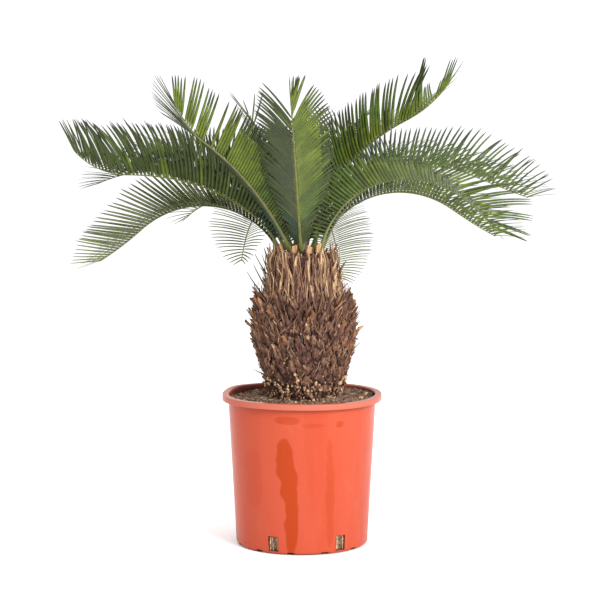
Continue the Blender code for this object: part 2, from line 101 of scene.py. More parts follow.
def quarter_round(start, end, steps, hollow=False):
    """Points of a quarter ellipse from start to end, leaving start level, or upright where it is hollow."""
    points = []
    for i in range(1, steps + 1):
        turn = math.pi / 2 * i / steps
        a, b = (1 - math.cos(turn), math.sin(turn)) if hollow else (math.sin(turn), 1 - math.cos(turn))
        points.append((start[0] + (end[0] - start[0]) * a, start[1] + (end[1] - start[1]) * b))
    return points


def straight(start, end, steps):
    """Points evenly along a line from start to end."""
    shares = [i / steps for i in range(1, steps + 1)]
    return [tuple(a + (b - a) * share for a, b in zip(start, end)) for share in shares]


def raised(name, sides, rings):
    """A closed form raised ring by ring from a flat disc, with the radius and height of each ring."""
    bpy.ops.object.select_all(action="DESELECT")
    radius, height = rings[0]
    place = (0, 0, height)
    bpy.ops.mesh.primitive_circle_add(vertices=sides, radius=radius, fill_type="NGON", location=place)
    piece = bpy.context.object
    piece.name = name
    bpy.ops.object.transform_apply(location=True)
    bpy.ops.object.mode_set(mode="EDIT")
    bpy.ops.mesh.select_all(action="SELECT")
    for new_radius, new_height in rings[1:]:
        bpy.ops.mesh.extrude_region_move(TRANSFORM_OT_translate={"value": (0, 0, new_height - height)})
        grow = new_radius / radius
        bpy.ops.transform.resize(value=(grow, grow, 1), center_override=(0, 0, new_height))
        radius, height = new_radius, new_height
    bpy.ops.mesh.select_all(action="SELECT")
    bpy.ops.mesh.normals_make_consistent(inside=False)
    bpy.ops.object.mode_set(mode="OBJECT")
    return piece


def joined(pieces, name):
    """The pieces joined into one, with its origin at the frame's."""
    bpy.ops.object.select_all(action="DESELECT")
    for piece in pieces:
        piece.select_set(True)
    bpy.context.view_layer.objects.active = pieces[0]
    bpy.ops.object.join()
    bpy.ops.object.transform_apply(location=True, rotation=True, scale=True)
    bpy.context.object.name = name
    return bpy.context.object


def pick(piece):
    bpy.ops.object.select_all(action="DESELECT")
    piece.select_set(True)
    bpy.context.view_layer.objects.active = piece


def cut_away(piece, cutter):
    boolean = piece.modifiers.new("cut", "BOOLEAN")
    boolean.object = cutter
    boolean.solver = "EXACT"
    pick(piece)
    bpy.ops.object.modifier_apply(modifier="cut")
    bpy.data.objects.remove(cutter)


def smoothed(piece, angle):
    """Shades the piece smooth, but for edges that turn by more than the angle in degrees."""
    pick(piece)
    bpy.ops.object.shade_smooth_by_angle(angle=math.radians(angle))


groove = rim_radius - lip_wall
roof = pot_height - lip_roof
inside_top = body_top_radius - wall
pot_rings = [(base_radius, 0.0), (body_foot_radius - turn_in, turn_in_height)]
pot_rings += quarter_round(pot_rings[-1], (body_foot_radius - 0.0004, 0.0070), 5)
pot_rings += straight(pot_rings[-1], (body_foot_radius, body_foot_height), 2)
pot_rings += straight(pot_rings[-1], (body_top_radius, lip_low), 14)
pot_rings += quarter_round((body_top_radius, lip_low), (body_top_radius + 0.0028, roof), 5, hollow=True)
pot_rings += straight(pot_rings[-1], (groove - lip_round, roof), 2)
pot_rings += quarter_round(pot_rings[-1], (groove, roof - lip_round), 3)
pot_rings += straight(pot_rings[-1], (groove, lip_low + 0.0008), 2)
pot_rings += quarter_round(pot_rings[-1], (groove + lip_wall / 2, lip_low), 3, hollow=True)
pot_rings += quarter_round(pot_rings[-1], (rim_radius, lip_low + lip_wall / 2), 3)
pot_rings += straight(pot_rings[-1], (rim_radius - 0.0006, pot_height - lip_round), 4)
pot_rings += quarter_round(pot_rings[-1], (rim_radius - 0.0006 - lip_round, pot_height), 4, hollow=True)
pot_rings += straight(pot_rings[-1], (inside_top + 0.0034, pot_height), 4)
pot_rings += quarter_round(pot_rings[-1], (inside_top + 0.0010, pot_height - 0.0030), 4)
pot_rings += straight(pot_rings[-1], (inside_top, lip_low), 2)
pot_rings += straight(pot_rings[-1], (body_foot_radius - wall, body_foot_height + 0.004), 10)
pot_rings += quarter_round(pot_rings[-1], (base_radius, floor_thickness), 4, hollow=True)
pot_shell = raised("pot_shell", pot_sides, pot_rings)


def ring_of_blocks(count, first_turn, radius, size, height, rounding):
    """Blocks with rounded corners in a ring, all one piece."""
    blocks = []
    for i in range(count):
        turn = math.radians(first_turn + 360.0 * i / count)
        place = (radius * math.cos(turn), radius * math.sin(turn), height)
        bpy.ops.object.select_all(action="DESELECT")
        bpy.ops.mesh.primitive_cube_add(size=1, location=place, rotation=(0, 0, turn), scale=size)
        block = bpy.context.object
        bpy.ops.object.transform_apply(location=False, rotation=False, scale=True)
        soften = block.modifiers.new("soften", "BEVEL")
        soften.width = rounding
        soften.segments = 3
        bpy.ops.object.modifier_apply(modifier="soften")
        blocks.append(block)
    return joined(blocks, "cutter")


slots = ring_of_blocks(slot_count, slot_first_turn, body_foot_radius, slot_size, slot_middle, slot_rounding)
cut_away(pot_shell, slots)
notch_turn = slot_first_turn + 180.0 / notch_count
notches = ring_of_blocks(notch_count, notch_turn, body_foot_radius - 0.001, notch_size, 0.0, notch_rounding)
cut_away(pot_shell, notches)


def from_nearest(turn, first_turn, count):
    """How far an angle is from the nearest one of a ring, in degrees."""
    step = 360.0 / count
    return abs((turn - first_turn + step / 2) % step - step / 2)


# The cut faces of the notches and slots, which take a dark finish as painted shade in these recesses.
shaded_cuts = []
for face in pot_shell.data.polygons:
    x, y, z = face.center
    reach = math.hypot(x, y)
    turn = math.degrees(math.atan2(y, x))
    off_notch = math.radians(from_nearest(turn, notch_turn, notch_count)) * reach
    off_slot = math.radians(from_nearest(turn, slot_first_turn, slot_count)) * reach
    in_notch = z < 0.0057 and 0.1245 < reach < 0.1400 and off_notch < 0.0082
    in_slot = abs(z - slot_middle) < 0.0152 and 0.1250 < reach and off_slot < 0.0107
    shaded_cuts.append(in_notch or in_slot)

# A soft pot bulges a little and its lip is never quite level: it is pulled up at the back left.
pulled_up_turn = math.radians(152)
for point in pot_shell.data.vertices:
    x, y, z = point.co
    turn = math.atan2(y, x)
    up = max(0.0, z / pot_height) ** 2
    lifted = math.exp(-(((turn - pulled_up_turn) / 0.30) ** 2))
    point.co.z += up * (0.0008 * math.sin(3 * turn + 0.6) - 0.0006 + 0.0024 * lifted)
    swell = 1.0 + 0.0035 * math.sin(2 * turn + 0.4) * math.sin(math.pi * min(1.0, z / lip_low))
    point.co.x = x * swell
    point.co.y = y * swell
smoothed(pot_shell, 40)


def shader_group(name, inputs):
    """A shader group with the inputs named, each a Float or a Vector, and a mask as its output."""
    group = bpy.data.node_groups.new(name, "ShaderNodeTree")
    for socket, kind in inputs.items():
        group.interface.new_socket(socket, in_out="INPUT", socket_type="NodeSocket" + kind)
    group.interface.new_socket("Mask", in_out="OUTPUT", socket_type="NodeSocketFloat")
    return group, group.nodes.new("NodeGroupInput"), group.nodes.new("NodeGroupOutput")


def blotch_group():
    """Soft blotches of noise as a mask, the same everywhere but for their size, stretch and sharpness."""
    inputs = {"Place": "Vector", "Stretch": "Vector", "Scale": "Float", "Low": "Float", "High": "Float"}
    group, start, end = shader_group("blotches", inputs)
    stretch = group.nodes.new("ShaderNodeVectorMath")
    stretch.operation = "MULTIPLY"
    cloud = group.nodes.new("ShaderNodeTexNoise")
    cloud.inputs["Detail"].default_value = 4.0
    cloud.inputs["Roughness"].default_value = 0.6
    ramp = group.nodes.new("ShaderNodeMapRange")
    ramp.interpolation_type = "SMOOTHSTEP"
    for source, target in (
        (start.outputs["Place"], stretch.inputs[0]),
        (start.outputs["Stretch"], stretch.inputs[1]),
        (stretch.outputs[0], cloud.inputs["Vector"]),
        (start.outputs["Scale"], cloud.inputs["Scale"]),
        (cloud.outputs["Fac"], ramp.inputs["Value"]),
        (start.outputs["Low"], ramp.inputs["From Min"]),
        (start.outputs["High"], ramp.inputs["From Max"]),
        (ramp.outputs["Result"], end.inputs["Mask"]),
    ):
        group.links.new(source, target)
    return group


blotches_made = blotch_group()


def finish_of(name, colour, roughness, shine):
    """A new material with its shader set to a plain colour, on which its section builds."""
    made = bpy.data.materials.new(name)
    made.use_nodes = True
    shader = made.node_tree.nodes["Principled BSDF"]
    shader.inputs["Base Color"].default_value = (*colour, 1.0)
    shader.inputs["Roughness"].default_value = roughness
    shader.inputs["Specular IOR Level"].default_value = shine
    place = made.node_tree.nodes.new("ShaderNodeTexCoord")
    place.name = "place"
    return made, shader


def masked(made, group, inputs):
    """The mask of a shader group with its inputs set, at the material's own places."""
    node = made.node_tree.nodes.new("ShaderNodeGroup")
    node.node_tree = group
    for name, value in inputs.items():
        node.inputs[name].default_value = value
    made.node_tree.links.new(made.node_tree.nodes["place"].outputs["Object"], node.inputs["Place"])
    return node.outputs["Mask"]


def blotches(made, scale, low, high, stretch=(1, 1, 1)):
    return masked(made, blotches_made, {"Stretch": stretch, "Scale": scale, "Low": low, "High": high})


def coloured(made, mask, under, over):
    """A colour socket that goes from under to over with the mask. Each is a colour or another socket."""
    mix = made.node_tree.nodes.new("ShaderNodeMix")
    mix.data_type = "RGBA"
    made.node_tree.links.new(mask, mix.inputs["Factor"])
    for value, socket in ((under, mix.inputs[6]), (over, mix.inputs[7])):
        if isinstance(value, tuple):
            socket.default_value = (*value, 1.0)
        else:
            made.node_tree.links.new(value, socket)
    return mix.outputs[2]


def ranged(made, mask, low, high, start=0.0, end=1.0):
    """The mask as a number that goes from low to high while the mask goes from start to end."""
    node = made.node_tree.nodes.new("ShaderNodeMapRange")
    for name, value in (("From Min", start), ("From Max", end), ("To Min", low), ("To Max", high)):
        node.inputs[name].default_value = value
    made.node_tree.links.new(mask, node.inputs["Value"])
    return node.outputs["Result"]


def embossed(made, shader, height, strength, distance):
    bump = made.node_tree.nodes.new("ShaderNodeBump")
    bump.inputs["Strength"].default_value = strength
    bump.inputs["Distance"].default_value = distance
    made.node_tree.links.new(height, bump.inputs["Height"])
    made.node_tree.links.new(bump.outputs["Normal"], shader.inputs["Normal"])


def mottled(name, colour, roughness, shine, spots, under, over, stretch=(1, 1, 1), relief=None):
    """A finish mottled in two colours. spots is the scale of its blotches and where they start and are full,
    and relief how strongly and how high they stand out."""
    made, shader = finish_of(name, colour, roughness, shine)
    mask = blotches(made, *spots, stretch=stretch)
    made.node_tree.links.new(coloured(made, mask, under, over), shader.inputs["Base Color"])
    if relief:
        embossed(made, shader, mask, *relief)
    return made


def maths(tree, operation, *values):
    """A maths node's result in a shader tree. Each value is a number or a socket."""
    node = tree.nodes.new("ShaderNodeMath")
    node.operation = operation
    for value, socket in zip(values, node.inputs):
        if isinstance(value, float):
            socket.default_value = value
        else:
            tree.links.new(value, socket)
    return node.outputs[0]


def reflection_streak_group():
    """One painted dark reflection on the side facing the viewer: a blunt oval mask with shaky edges at a
    place across and up.
    """
    inputs = dict.fromkeys(("Across", "Up", "Half Width", "Half Height"), "Float")
    group, start, end = shader_group("reflection_streak", {**inputs, "Place": "Vector"})
    apart = group.nodes.new("ShaderNodeSeparateXYZ")
    group.links.new(start.outputs["Place"], apart.inputs[0])
    wobble = group.nodes.new("ShaderNodeTexNoise")
    wobble.inputs["Scale"].default_value = 28.0
    group.links.new(start.outputs["Place"], wobble.inputs["Vector"])
    shaken = maths(group, "MULTIPLY_ADD", wobble.outputs["Fac"], 0.016, -0.008)
    across = maths(group, "SUBTRACT", apart.outputs["X"], start.outputs["Across"])
    across = maths(group, "DIVIDE", maths(group, "ADD", across, shaken), start.outputs["Half Width"])
    along = maths(group, "SUBTRACT", start.outputs["Up"], apart.outputs["Z"])
    along = maths(group, "DIVIDE", along, start.outputs["Half Height"])
    across = maths(group, "POWER", maths(group, "ABSOLUTE", across), 2.0)
    along = maths(group, "POWER", maths(group, "ABSOLUTE", along), 4.0)
    edge = group.nodes.new("ShaderNodeMapRange")
    edge.interpolation_type = "SMOOTHSTEP"
    edge.inputs["From Min"].default_value = 1.25
    edge.inputs["From Max"].default_value = 0.70
    group.links.new(maths(group, "ADD", across, along), edge.inputs["Value"])
    front = maths(group, "LESS_THAN", apart.outputs["Y"], -0.05)
    group.links.new(maths(group, "MULTIPLY", edge.outputs["Result"], front), end.inputs["Mask"])
    return group


reflection_streak_made = reflection_streak_group()


def reflection_streak(made, dark_reflection):
    size = {"Half Width": dark_reflection.half_width, "Half Height": dark_reflection.half_height}
    return masked(made, reflection_streak_made, {"Across": dark_reflection.across, "Up": dark_reflection.up, **size})


terracotta, shader = finish_of("terracotta plastic", (0.40, 0.060, 0.028), 0.34, 0.08)
shader.inputs["Coat Weight"].default_value = 0.03
shader.inputs["Coat Roughness"].default_value = 0.12
streaks = blotches(terracotta, 9.0, 0.42, 0.72, stretch=(2.2, 2.2, 0.35))
tone = coloured(terracotta, streaks, (0.405, 0.064, 0.031), (0.38, 0.054, 0.023))
# Painted reflections: streaks of deeper orange on the side facing the viewer, where the glossy wall shows
# less white sheen.
ReflectionStreak = namedtuple("ReflectionStreak", "across up half_width half_height strength")
for dark_reflection in (
    ReflectionStreak(-0.0340, 0.190, 0.0160, 0.046, 1.0),
    ReflectionStreak(-0.0290, 0.160, 0.0140, 0.050, 1.0),
    ReflectionStreak(-0.0210, 0.090, 0.0140, 0.088, 1.0),
    ReflectionStreak(0.0545, 0.125, 0.0070, 0.110, 0.45),
    ReflectionStreak(-0.0950, 0.150, 0.0170, 0.060, 0.22),
    ReflectionStreak(-0.0310, 0.272, 0.0235, 0.0080, 0.7),
    ReflectionStreak(0.0200, 0.262, 0.0225, 0.0040, 0.5),
    ReflectionStreak(0.0740, 0.262, 0.0065, 0.0065, 0.7),
):
    mask = reflection_streak(terracotta, dark_reflection)
    tone = coloured(terracotta, ranged(terracotta, mask, 0.0, dark_reflection.strength), tone, (0.32, 0.036, 0.006))
dusty = blotches(terracotta, 16.0, 0.60, 0.80)
tone = coloured(terracotta, ranged(terracotta, dusty, 0.0, 0.20), tone, (0.42, 0.13, 0.085))
# The lip is paler, partly from wear and partly as painted sheen from the light above, and inside it the wall
# is darkened as painted shade.
tree = terracotta.node_tree
apart = tree.nodes.new("ShaderNodeSeparateXYZ")
tree.links.new(tree.nodes["place"].outputs["Object"], apart.inputs[0])
# Painted sheen, with some wear: the top of the lip takes a paler pink.
lip_sheen_and_wear = ranged(terracotta, apart.outputs["Z"], 0.0, 0.75, lip_low - 0.002, lip_low + 0.002)
tone = coloured(terracotta, lip_sheen_and_wear, tone, (0.400, 0.122, 0.084))
across = maths(tree, "MULTIPLY", apart.outputs["X"], apart.outputs["X"])
deep = maths(tree, "MULTIPLY", apart.outputs["Y"], apart.outputs["Y"])
from_axis = maths(tree, "SQRT", maths(tree, "ADD", across, deep))
inner = ranged(terracotta, from_axis, 0.0, 1.0, inside_top + 0.0019, inside_top + 0.0005)
# Painted shade: the inner wall above the compost is darkened in blotches of dark red-brown.
inner_wall_shade = maths(tree, "MULTIPLY", inner, maths(tree, "GREATER_THAN", apart.outputs["Z"], 0.280))
painted_wall_shade = blotches(terracotta, 30.0, 0.35, 0.65)
painted_wall_shade = coloured(terracotta, painted_wall_shade, (0.095, 0.026, 0.020), (0.190, 0.040, 0.024))
tone = coloured(terracotta, inner_wall_shade, tone, painted_wall_shade)
tree.links.new(tone, shader.inputs["Base Color"])
tree.links.new(ranged(terracotta, streaks, 0.24, 0.36), shader.inputs["Roughness"])
embossed(terracotta, shader, blotches(terracotta, 22.0, 0.3, 0.7, stretch=(1, 1, 0.4)), 0.10, 0.0008)
pot_shell.data.materials.append(terracotta)
# Painted shade: the cut faces in the notches and slots get a dark mottled brown.
cut_shade_colours = ((0.030, 0.015, 0.011), (0.120, 0.042, 0.026))
cut_shade = mottled("painted shade in the cuts", (0.05, 0.025, 0.018), 0.95, 0.1, (160.0, 0.35, 0.65), *cut_shade_colours)
pot_shell.data.materials.append(cut_shade)
pot_shell.data.polygons.foreach_set("material_index", [int(shaded) for shaded in shaded_cuts])
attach(pot_shell, "root")
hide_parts("pot")

# The root ball. Dark peaty compost that fills the pot to just under the lip and rises to the trunk. Its
# skin is crumbs of peat and bark, with green moss where it stays damp and pale chips fallen from the bark.
compost_edge = 0.293
compost_mound = 0.2995
mound_radius = 0.084
edge_radius = inside_top - gap
compost_sides = 160
compost_rings = [(base_radius - gap, floor_thickness + gap)]
compost_rings += quarter_round(compost_rings[-1], (body_foot_radius - wall - gap, 0.020), 4)
compost_rings += straight(compost_rings[-1], (edge_radius, compost_edge), 24)
skin_rings = 20
for i in range(1, skin_rings + 1):
    fall = 0.5 + 0.5 * math.cos(math.pi * i / skin_rings)
    radius = edge_radius + (mound_radius - edge_radius) * i / skin_rings
    compost_rings.append((radius, compost_mound - (compost_mound - compost_edge) * fall))
compost_rings += straight(compost_rings[-1], (0.060, compost_mound), 4)
compost_ball = raised("compost_ball", compost_sides, compost_rings)


def rough(place, size, seed=0.0):
    """Smooth noise between about -1 and 1 at a place, with lumps of that size."""
    return noise.noise(Vector(place) / size + Vector((seed, seed * 0.7, -seed)))


def soil_height(x, y):
    """Height of the compost's skin at a place, higher towards the right of the pot."""
    reach = math.hypot(x, y)
    share = min(1.0, max(0.0, (edge_radius - reach) / (edge_radius - mound_radius)))
    level = compost_edge + (compost_mound - compost_edge) * (0.5 - 0.5 * math.cos(math.pi * share))
    level += 0.0055 * (1.0 - share) * max(0.0, x / edge_radius) * min(1.0, (edge_radius - reach) / 0.006)
    flat = min(1.0, max(0.0, (edge_radius - reach) / 0.010)) * min(1.0, max(0.0, (reach - 0.078) / 0.008))
    return level + flat * (0.0030 * rough((x, y, 0.0), 0.030) + 0.0016 * rough((x, y, 0.0), 0.009, 3.0))


for point in compost_ball.data.vertices:
    x, y, z = point.co
    if z > compost_edge - 0.0001 and math.hypot(x, y) < edge_radius - 0.0005:
        point.co.z = soil_height(x, y)
    elif 0.024 < z < compost_edge - 0.002:
        shrink = 1.0 - 0.012 * (0.5 + 0.5 * rough((x, y, z), 0.008))
        point.co.x = x * shrink
        point.co.y = y * shrink
smoothed(compost_ball, 50)
Form = namedtuple("Form", "points faces")


def form_of(piece):
    """The points and faces of a modelled piece, which is then removed: copies of it are gathered later."""
    points = np.array([vert.co for vert in piece.data.vertices])
    faces = [tuple(face.vertices) for face in piece.data.polygons]
    bpy.data.objects.remove(piece)
    return Form(points, faces)


def gathered(name, copies, finishes, smooth=True):
    """One piece from many copies, each its points, faces and the number of its finish or of each face's."""
    points, faces, numbers, start = [], [], [], 0
    for copy_points, copy_faces, number in copies:
        points.append(copy_points)
        faces += [tuple(corner + start for corner in face) for face in copy_faces]
        numbers += list(number) if isinstance(number, (list, tuple)) else [number] * len(copy_faces)
        start += len(copy_points)
    mesh = bpy.data.meshes.new(name)
    mesh.from_pydata(np.concatenate(points).tolist(), [], faces)
    for finish in finishes:
        mesh.materials.append(finish)
    mesh.polygons.foreach_set("material_index", numbers)
    mesh.polygons.foreach_set("use_smooth", [smooth] * len(faces))
    piece = bpy.data.objects.new(name, mesh)
    bpy.context.scene.collection.objects.link(piece)
    return piece


def turned_copy(form, scale, turns, place, number):
    """A copy of the form scaled, turned about X, Y and then Z, and moved to a place."""
    out = form.points * np.array(scale)
    for axis, turn in enumerate(turns):
        a, b = [(1, 2), (2, 0), (0, 1)][axis]
        c, s = math.cos(turn), math.sin(turn)
        out = out.copy()
        out[:, a], out[:, b] = out[:, a] * c - out[:, b] * s, out[:, a] * s + out[:, b] * c
    return out + np.array(place), form.faces, number


# The noise behind noise_vector starts anew at every run unless it is given a seed.
noise.seed_set(5)


def roughened(copy, size, amount, top=0.0, heights=None):
    """The copy with its points shaken by smooth noise, more of it towards its torn top."""
    points, faces, number = copy
    shaken = points.copy()
    for i, point in enumerate(points):
        strength = amount + (top * heights[i] ** 2 if top else 0.0)
        shaken[i] += np.array(noise.noise_vector(Vector(point) / size)) * strength
    return shaken, faces, number


bpy.ops.object.select_all(action="DESELECT")
bpy.ops.mesh.primitive_ico_sphere_add(subdivisions=1, radius=0.5)
crumb = form_of(bpy.context.object)

chance = random.Random(11)
crumb_count = 1500
crumbs = []
for i in range(crumb_count):
    turn = chance.uniform(0, math.tau)
    reach = math.sqrt(chance.uniform(0.080**2, (edge_radius - 0.003) ** 2))
    size = chance.choice((0.0028, 0.0040, 0.0056, 0.0076, 0.0100)) * chance.uniform(0.7, 1.2)
    # The right of the ball is the coarser side.
    size *= 1.0 + 0.45 * max(0.0, math.cos(turn))
    x, y = reach * math.cos(turn), reach * math.sin(turn)
    place = (x, y, soil_height(x, y) + size * 0.06)
    long, wide, high = chance.uniform(0.7, 1.5), chance.uniform(0.7, 1.1), chance.uniform(0.5, 0.9)
    turns = (chance.uniform(-0.5, 0.5), chance.uniform(-0.5, 0.5), chance.uniform(0, math.tau))
    number = chance.choices((0, 1, 2), weights=(50, 44, 6))[0]
    crumbs.append(turned_copy(crumb, (size * long, size * wide, size * high), turns, place, number))

# A few bigger clods lie sunk in the skin, most of them on the right.
clod_count = 90
for i in range(clod_count):
    turn = chance.gauss(0.0, 0.7) if i % 2 else chance.uniform(0, math.tau)
    reach = math.sqrt(chance.uniform(0.086**2, (edge_radius - 0.008) ** 2))
    size = chance.uniform(0.0095, 0.0165)
    x, y = reach * math.cos(turn), reach * math.sin(turn)
    place = (x, y, soil_height(x, y) - size * 0.12)
    shape = (size * chance.uniform(0.8, 1.4), size * chance.uniform(0.7, 1.0), size * 0.62)
    turns = (chance.uniform(-0.3, 0.3), chance.uniform(-0.3, 0.3), chance.uniform(0, math.tau))
    crumbs.append(roughened(turned_copy(crumb, shape, turns, place, 1), 0.004, 0.0010))

peat, shader = finish_of("peaty compost", (0.035, 0.022, 0.015), 0.95, 0.12)
grains = blotches(peat, 220.0, 0.35, 0.70)
damp = blotches(peat, 24.0, 0.45, 0.65)
tone = coloured(peat, grains, (0.045, 0.027, 0.019), (0.250, 0.158, 0.114))
tone = coloured(peat, ranged(peat, damp, 0.0, 0.25), tone, (0.050, 0.040, 0.016))
peat.node_tree.links.new(tone, shader.inputs["Base Color"])
embossed(peat, shader, grains, 0.6, 0.002)
bark_colours = ((0.100, 0.058, 0.038), (0.300, 0.184, 0.126))
bark_crumb = mottled("bark crumb", (0.16, 0.095, 0.055), 0.9, 0.12, (150.0, 0.4, 0.65), *bark_colours)
chip_colours = ((0.52, 0.36, 0.21), (0.27, 0.155, 0.075))
pale_chip = mottled("pale chip", (0.40, 0.26, 0.15), 0.85, 0.15, (130.0, 0.4, 0.65), *chip_colours)
compost_ball.data.materials.append(peat)
compost_crumbs = gathered("compost_crumbs", crumbs, [peat, bark_crumb, pale_chip], smooth=False)

# Moss: tiny upright sprigs that grow in beds.
bpy.ops.object.select_all(action="DESELECT")
bpy.ops.mesh.primitive_cone_add(vertices=3, radius1=0.5, radius2=0.0, depth=1.0, location=(0, 0, 0.5))
bpy.ops.object.transform_apply(location=True)
sprig = form_of(bpy.context.object)
MossBed = namedtuple("MossBed", "turn reach radius")
sprigs_in_bed = 230
sprigs = []
for bed in (
    MossBed(236, 0.118, 0.021),
    MossBed(222, 0.131, 0.015),
    MossBed(250, 0.128, 0.012),
    MossBed(208, 0.118, 0.016),
    MossBed(345, 0.132, 0.010),
    MossBed(97, 0.119, 0.017),
    MossBed(141, 0.126, 0.013),
    MossBed(178, 0.120, 0.018),
):
    turn = math.radians(bed.turn)
    for i in range(sprigs_in_bed):
        away = bed.radius * math.sqrt(chance.random())
        aim = chance.uniform(0, math.tau)
        x = bed.reach * math.cos(turn) + away * math.cos(aim)
        y = bed.reach * math.sin(turn) + away * math.sin(aim)
        if math.hypot(x, y) > edge_radius - 0.003:
            continue
        tall = 0.0042 * (1.15 - away / bed.radius) * chance.uniform(0.6, 1.3)
        turns = (chance.uniform(-0.6, 0.6), chance.uniform(-0.6, 0.6), chance.uniform(0, math.tau))
        thick = chance.uniform(0.0011, 0.0019)
        place = (x, y, soil_height(x, y) - 0.0004)
        sprigs.append(turned_copy(sprig, (thick, thick, tall), turns, place, 0))
moss_colours = ((0.040, 0.042, 0.015), (0.115, 0.108, 0.042))
moss = mottled("damp moss", (0.05, 0.055, 0.018), 0.9, 0.12, (90.0, 0.35, 0.65), *moss_colours)
moss_tufts = gathered("moss_tufts", sprigs, [moss], smooth=False)


def sliced(piece, heights):
    """The piece cut across at the heights, so that it can bend there."""
    bpy.ops.object.mode_set(mode="EDIT")
    for height in heights:
        bpy.ops.mesh.select_all(action="SELECT")
        bpy.ops.mesh.bisect(plane_co=(0, 0, height), plane_no=(0, 0, 1))
    bpy.ops.object.mode_set(mode="OBJECT")
    return piece


def rod(sides, heights, radius=1.0, middle=0.5):
    """A rod of unit height, sliced at the heights."""
    bpy.ops.object.select_all(action="DESELECT")
    place = (0, 0, middle)
    bpy.ops.mesh.primitive_cylinder_add(
        vertices=sides, radius=radius, depth=1.0, location=place, end_fill_type="NGON"
    )
    bpy.ops.object.transform_apply(location=True)
    return sliced(bpy.context.object, heights)


# Tan roots have run down the inside of the wall and show in the slots.
root_rod = rod(6, (-0.25, 0.0, 0.25), radius=0.5, middle=0.0)
for vert in root_rod.data.vertices:
    vert.co.x += 0.35 * math.sin(5.0 * vert.co.z)
root = form_of(root_rod)
roots = []
for slot in range(slot_count):
    for off, thick in ((-3.2, 0.0042), (-1.5, 0.0016), (3.3, 0.0022)):
        turn = math.radians(slot_first_turn + 360 / slot_count * slot + off + chance.uniform(-0.5, 0.5))
        reach = body_foot_radius - wall - 0.0002
        place = (reach * math.cos(turn), reach * math.sin(turn), slot_middle + chance.uniform(-0.002, 0.002))
        shape = (0.0018, thick * chance.uniform(0.7, 1.2), 0.029)
        turns = (chance.uniform(-0.06, 0.06), 0.0, turn)
        roots.append(turned_copy(root, shape, turns, place, 0))
root_colours = ((0.62, 0.42, 0.25), (0.22, 0.12, 0.06))
root_tan = mottled("pot roots", (0.48, 0.31, 0.17), 0.8, 0.15, (160.0, 0.35, 0.65), *root_colours)
slot_roots = gathered("slot_roots", roots, [root_tan])
for piece in (compost_ball, compost_crumbs, moss_tufts, slot_roots):
    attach(piece, "root")
    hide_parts("compost")

# The trunk. A stout stem hidden under the bases of all its old fronds: low down they are worn to dark
# knobs, on the belly they are ragged brown shards, and on the neck long tan strips stand upright.
trunk_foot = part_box("trunk")[0].z
trunk_top = 0.592
trunk_bark_low = 0.3025
trunk_foot_x = 0.006
trunk_top_x = 0.001
neck_height = 0.500
trunk_girths = (
    (0.281, 0.0705),
    (0.3025, 0.0730),
    (0.3340, 0.0840),
    (0.3740, 0.0940),
    (0.4140, 0.1030),
    (0.4500, 0.0995),
    (0.4900, 0.0915),
    (0.5120, 0.0770),
    (0.5520, 0.0700),
    (0.5800, 0.0690),
    (0.5920, 0.0620),
)


def girth(z):
    """The trunk's radius at a height, as its source's rule gives it."""
    for (low, a), (high, b) in zip(trunk_girths, trunk_girths[1:]):
        if z <= high:
            share = max(0.0, (z - low) / (high - low))
            smooth = share * share * (3 - 2 * share)
            return a + (b - a) * (0.5 * share + 0.5 * smooth)
    return trunk_girths[-1][1]


def axis_x(z):
    """The trunk leans: how far its axis is from the pot's at a height."""
    return trunk_foot_x + (trunk_top_x - trunk_foot_x) * (z - trunk_foot) / (trunk_top - trunk_foot)


def outward(turn):
    return Vector((math.cos(turn), math.sin(turn), 0.0))


def on_trunk(turn, z, proud):
    """A point on the trunk at an angle round it and a height, so far proud of its girth."""
    reach = girth(z) + proud
    return Vector((axis_x(z) + reach * math.cos(turn), reach * math.sin(turn), z))


knob_size = 0.0150
knob_squeeze = 0.58


def knob_cell(x, y, z):
    """Worn frond bases as cells: how far inside one a place is, from 0 in a crease to 1, and its draw."""
    place = Vector((x, y, z * knob_squeeze))
    reaches, middles = noise.voronoi(place / knob_size + Vector((3.1, 7.7, 1.3)))
    inside = min(1.0, (reaches[1] - reaches[0]) / 0.42)
    draw = (math.sin(middles[0].x * 12.9 + middles[0].y * 78.2 + middles[0].z * 37.7) * 43758.5) % 1.0
    return inside * inside * (3 - 2 * inside), draw


core_sunk = 0.0085
core_sides = 300
core_rings = [(girth(trunk_foot) - 0.002, trunk_foot)]
core_rings += [(girth(z) - core_sunk, z) for z in np.linspace(0.296, trunk_top - 0.010, 150)]
core_rings += straight(core_rings[-1], (0.030, trunk_top - 0.006), 10)
trunk_core = raised("trunk_core", core_sides, core_rings)
deepness = []
for point in trunk_core.data.vertices:
    x, y, z = point.co
    inside, draw = 0.0, 0.0
    if 0.2965 < z < trunk_top - 0.012:
        inside, draw = knob_cell(x, y, z)
        high = 1.0 - min(1.0, max(0.0, (z - 0.470) / 0.030))
        lump = 0.0072 * inside * (0.35 + 0.65 * high) * (0.60 + 0.70 * draw)
        lump += 0.0018 * rough((x, y, z), 0.0075, 5.0) + 0.0010 * rough((x, y, z), 0.0030, 9.0)
        reach = math.hypot(x, y)
        x, y = x * (1 + lump / reach), y * (1 + lump / reach)
        z += 0.25 * lump
    deepness.append((inside, draw))
    point.co = (x + axis_x(z), y, z)


def bark_finish(name, dark, light, scale):
    made, shader = finish_of(name, light, 0.9, 0.12)
    grain = blotches(made, scale, 0.32, 0.68, stretch=(1.5, 1.5, 0.45))
    dirt = blotches(made, scale * 0.3, 0.42, 0.62)
    tone = coloured(made, grain, dark, light)
    tone = coloured(made, ranged(made, dirt, 0.0, 0.5), tone, dark)
    made.node_tree.links.new(tone, shader.inputs["Base Color"])
    embossed(made, shader, grain, 0.5, 0.0015)
    return made
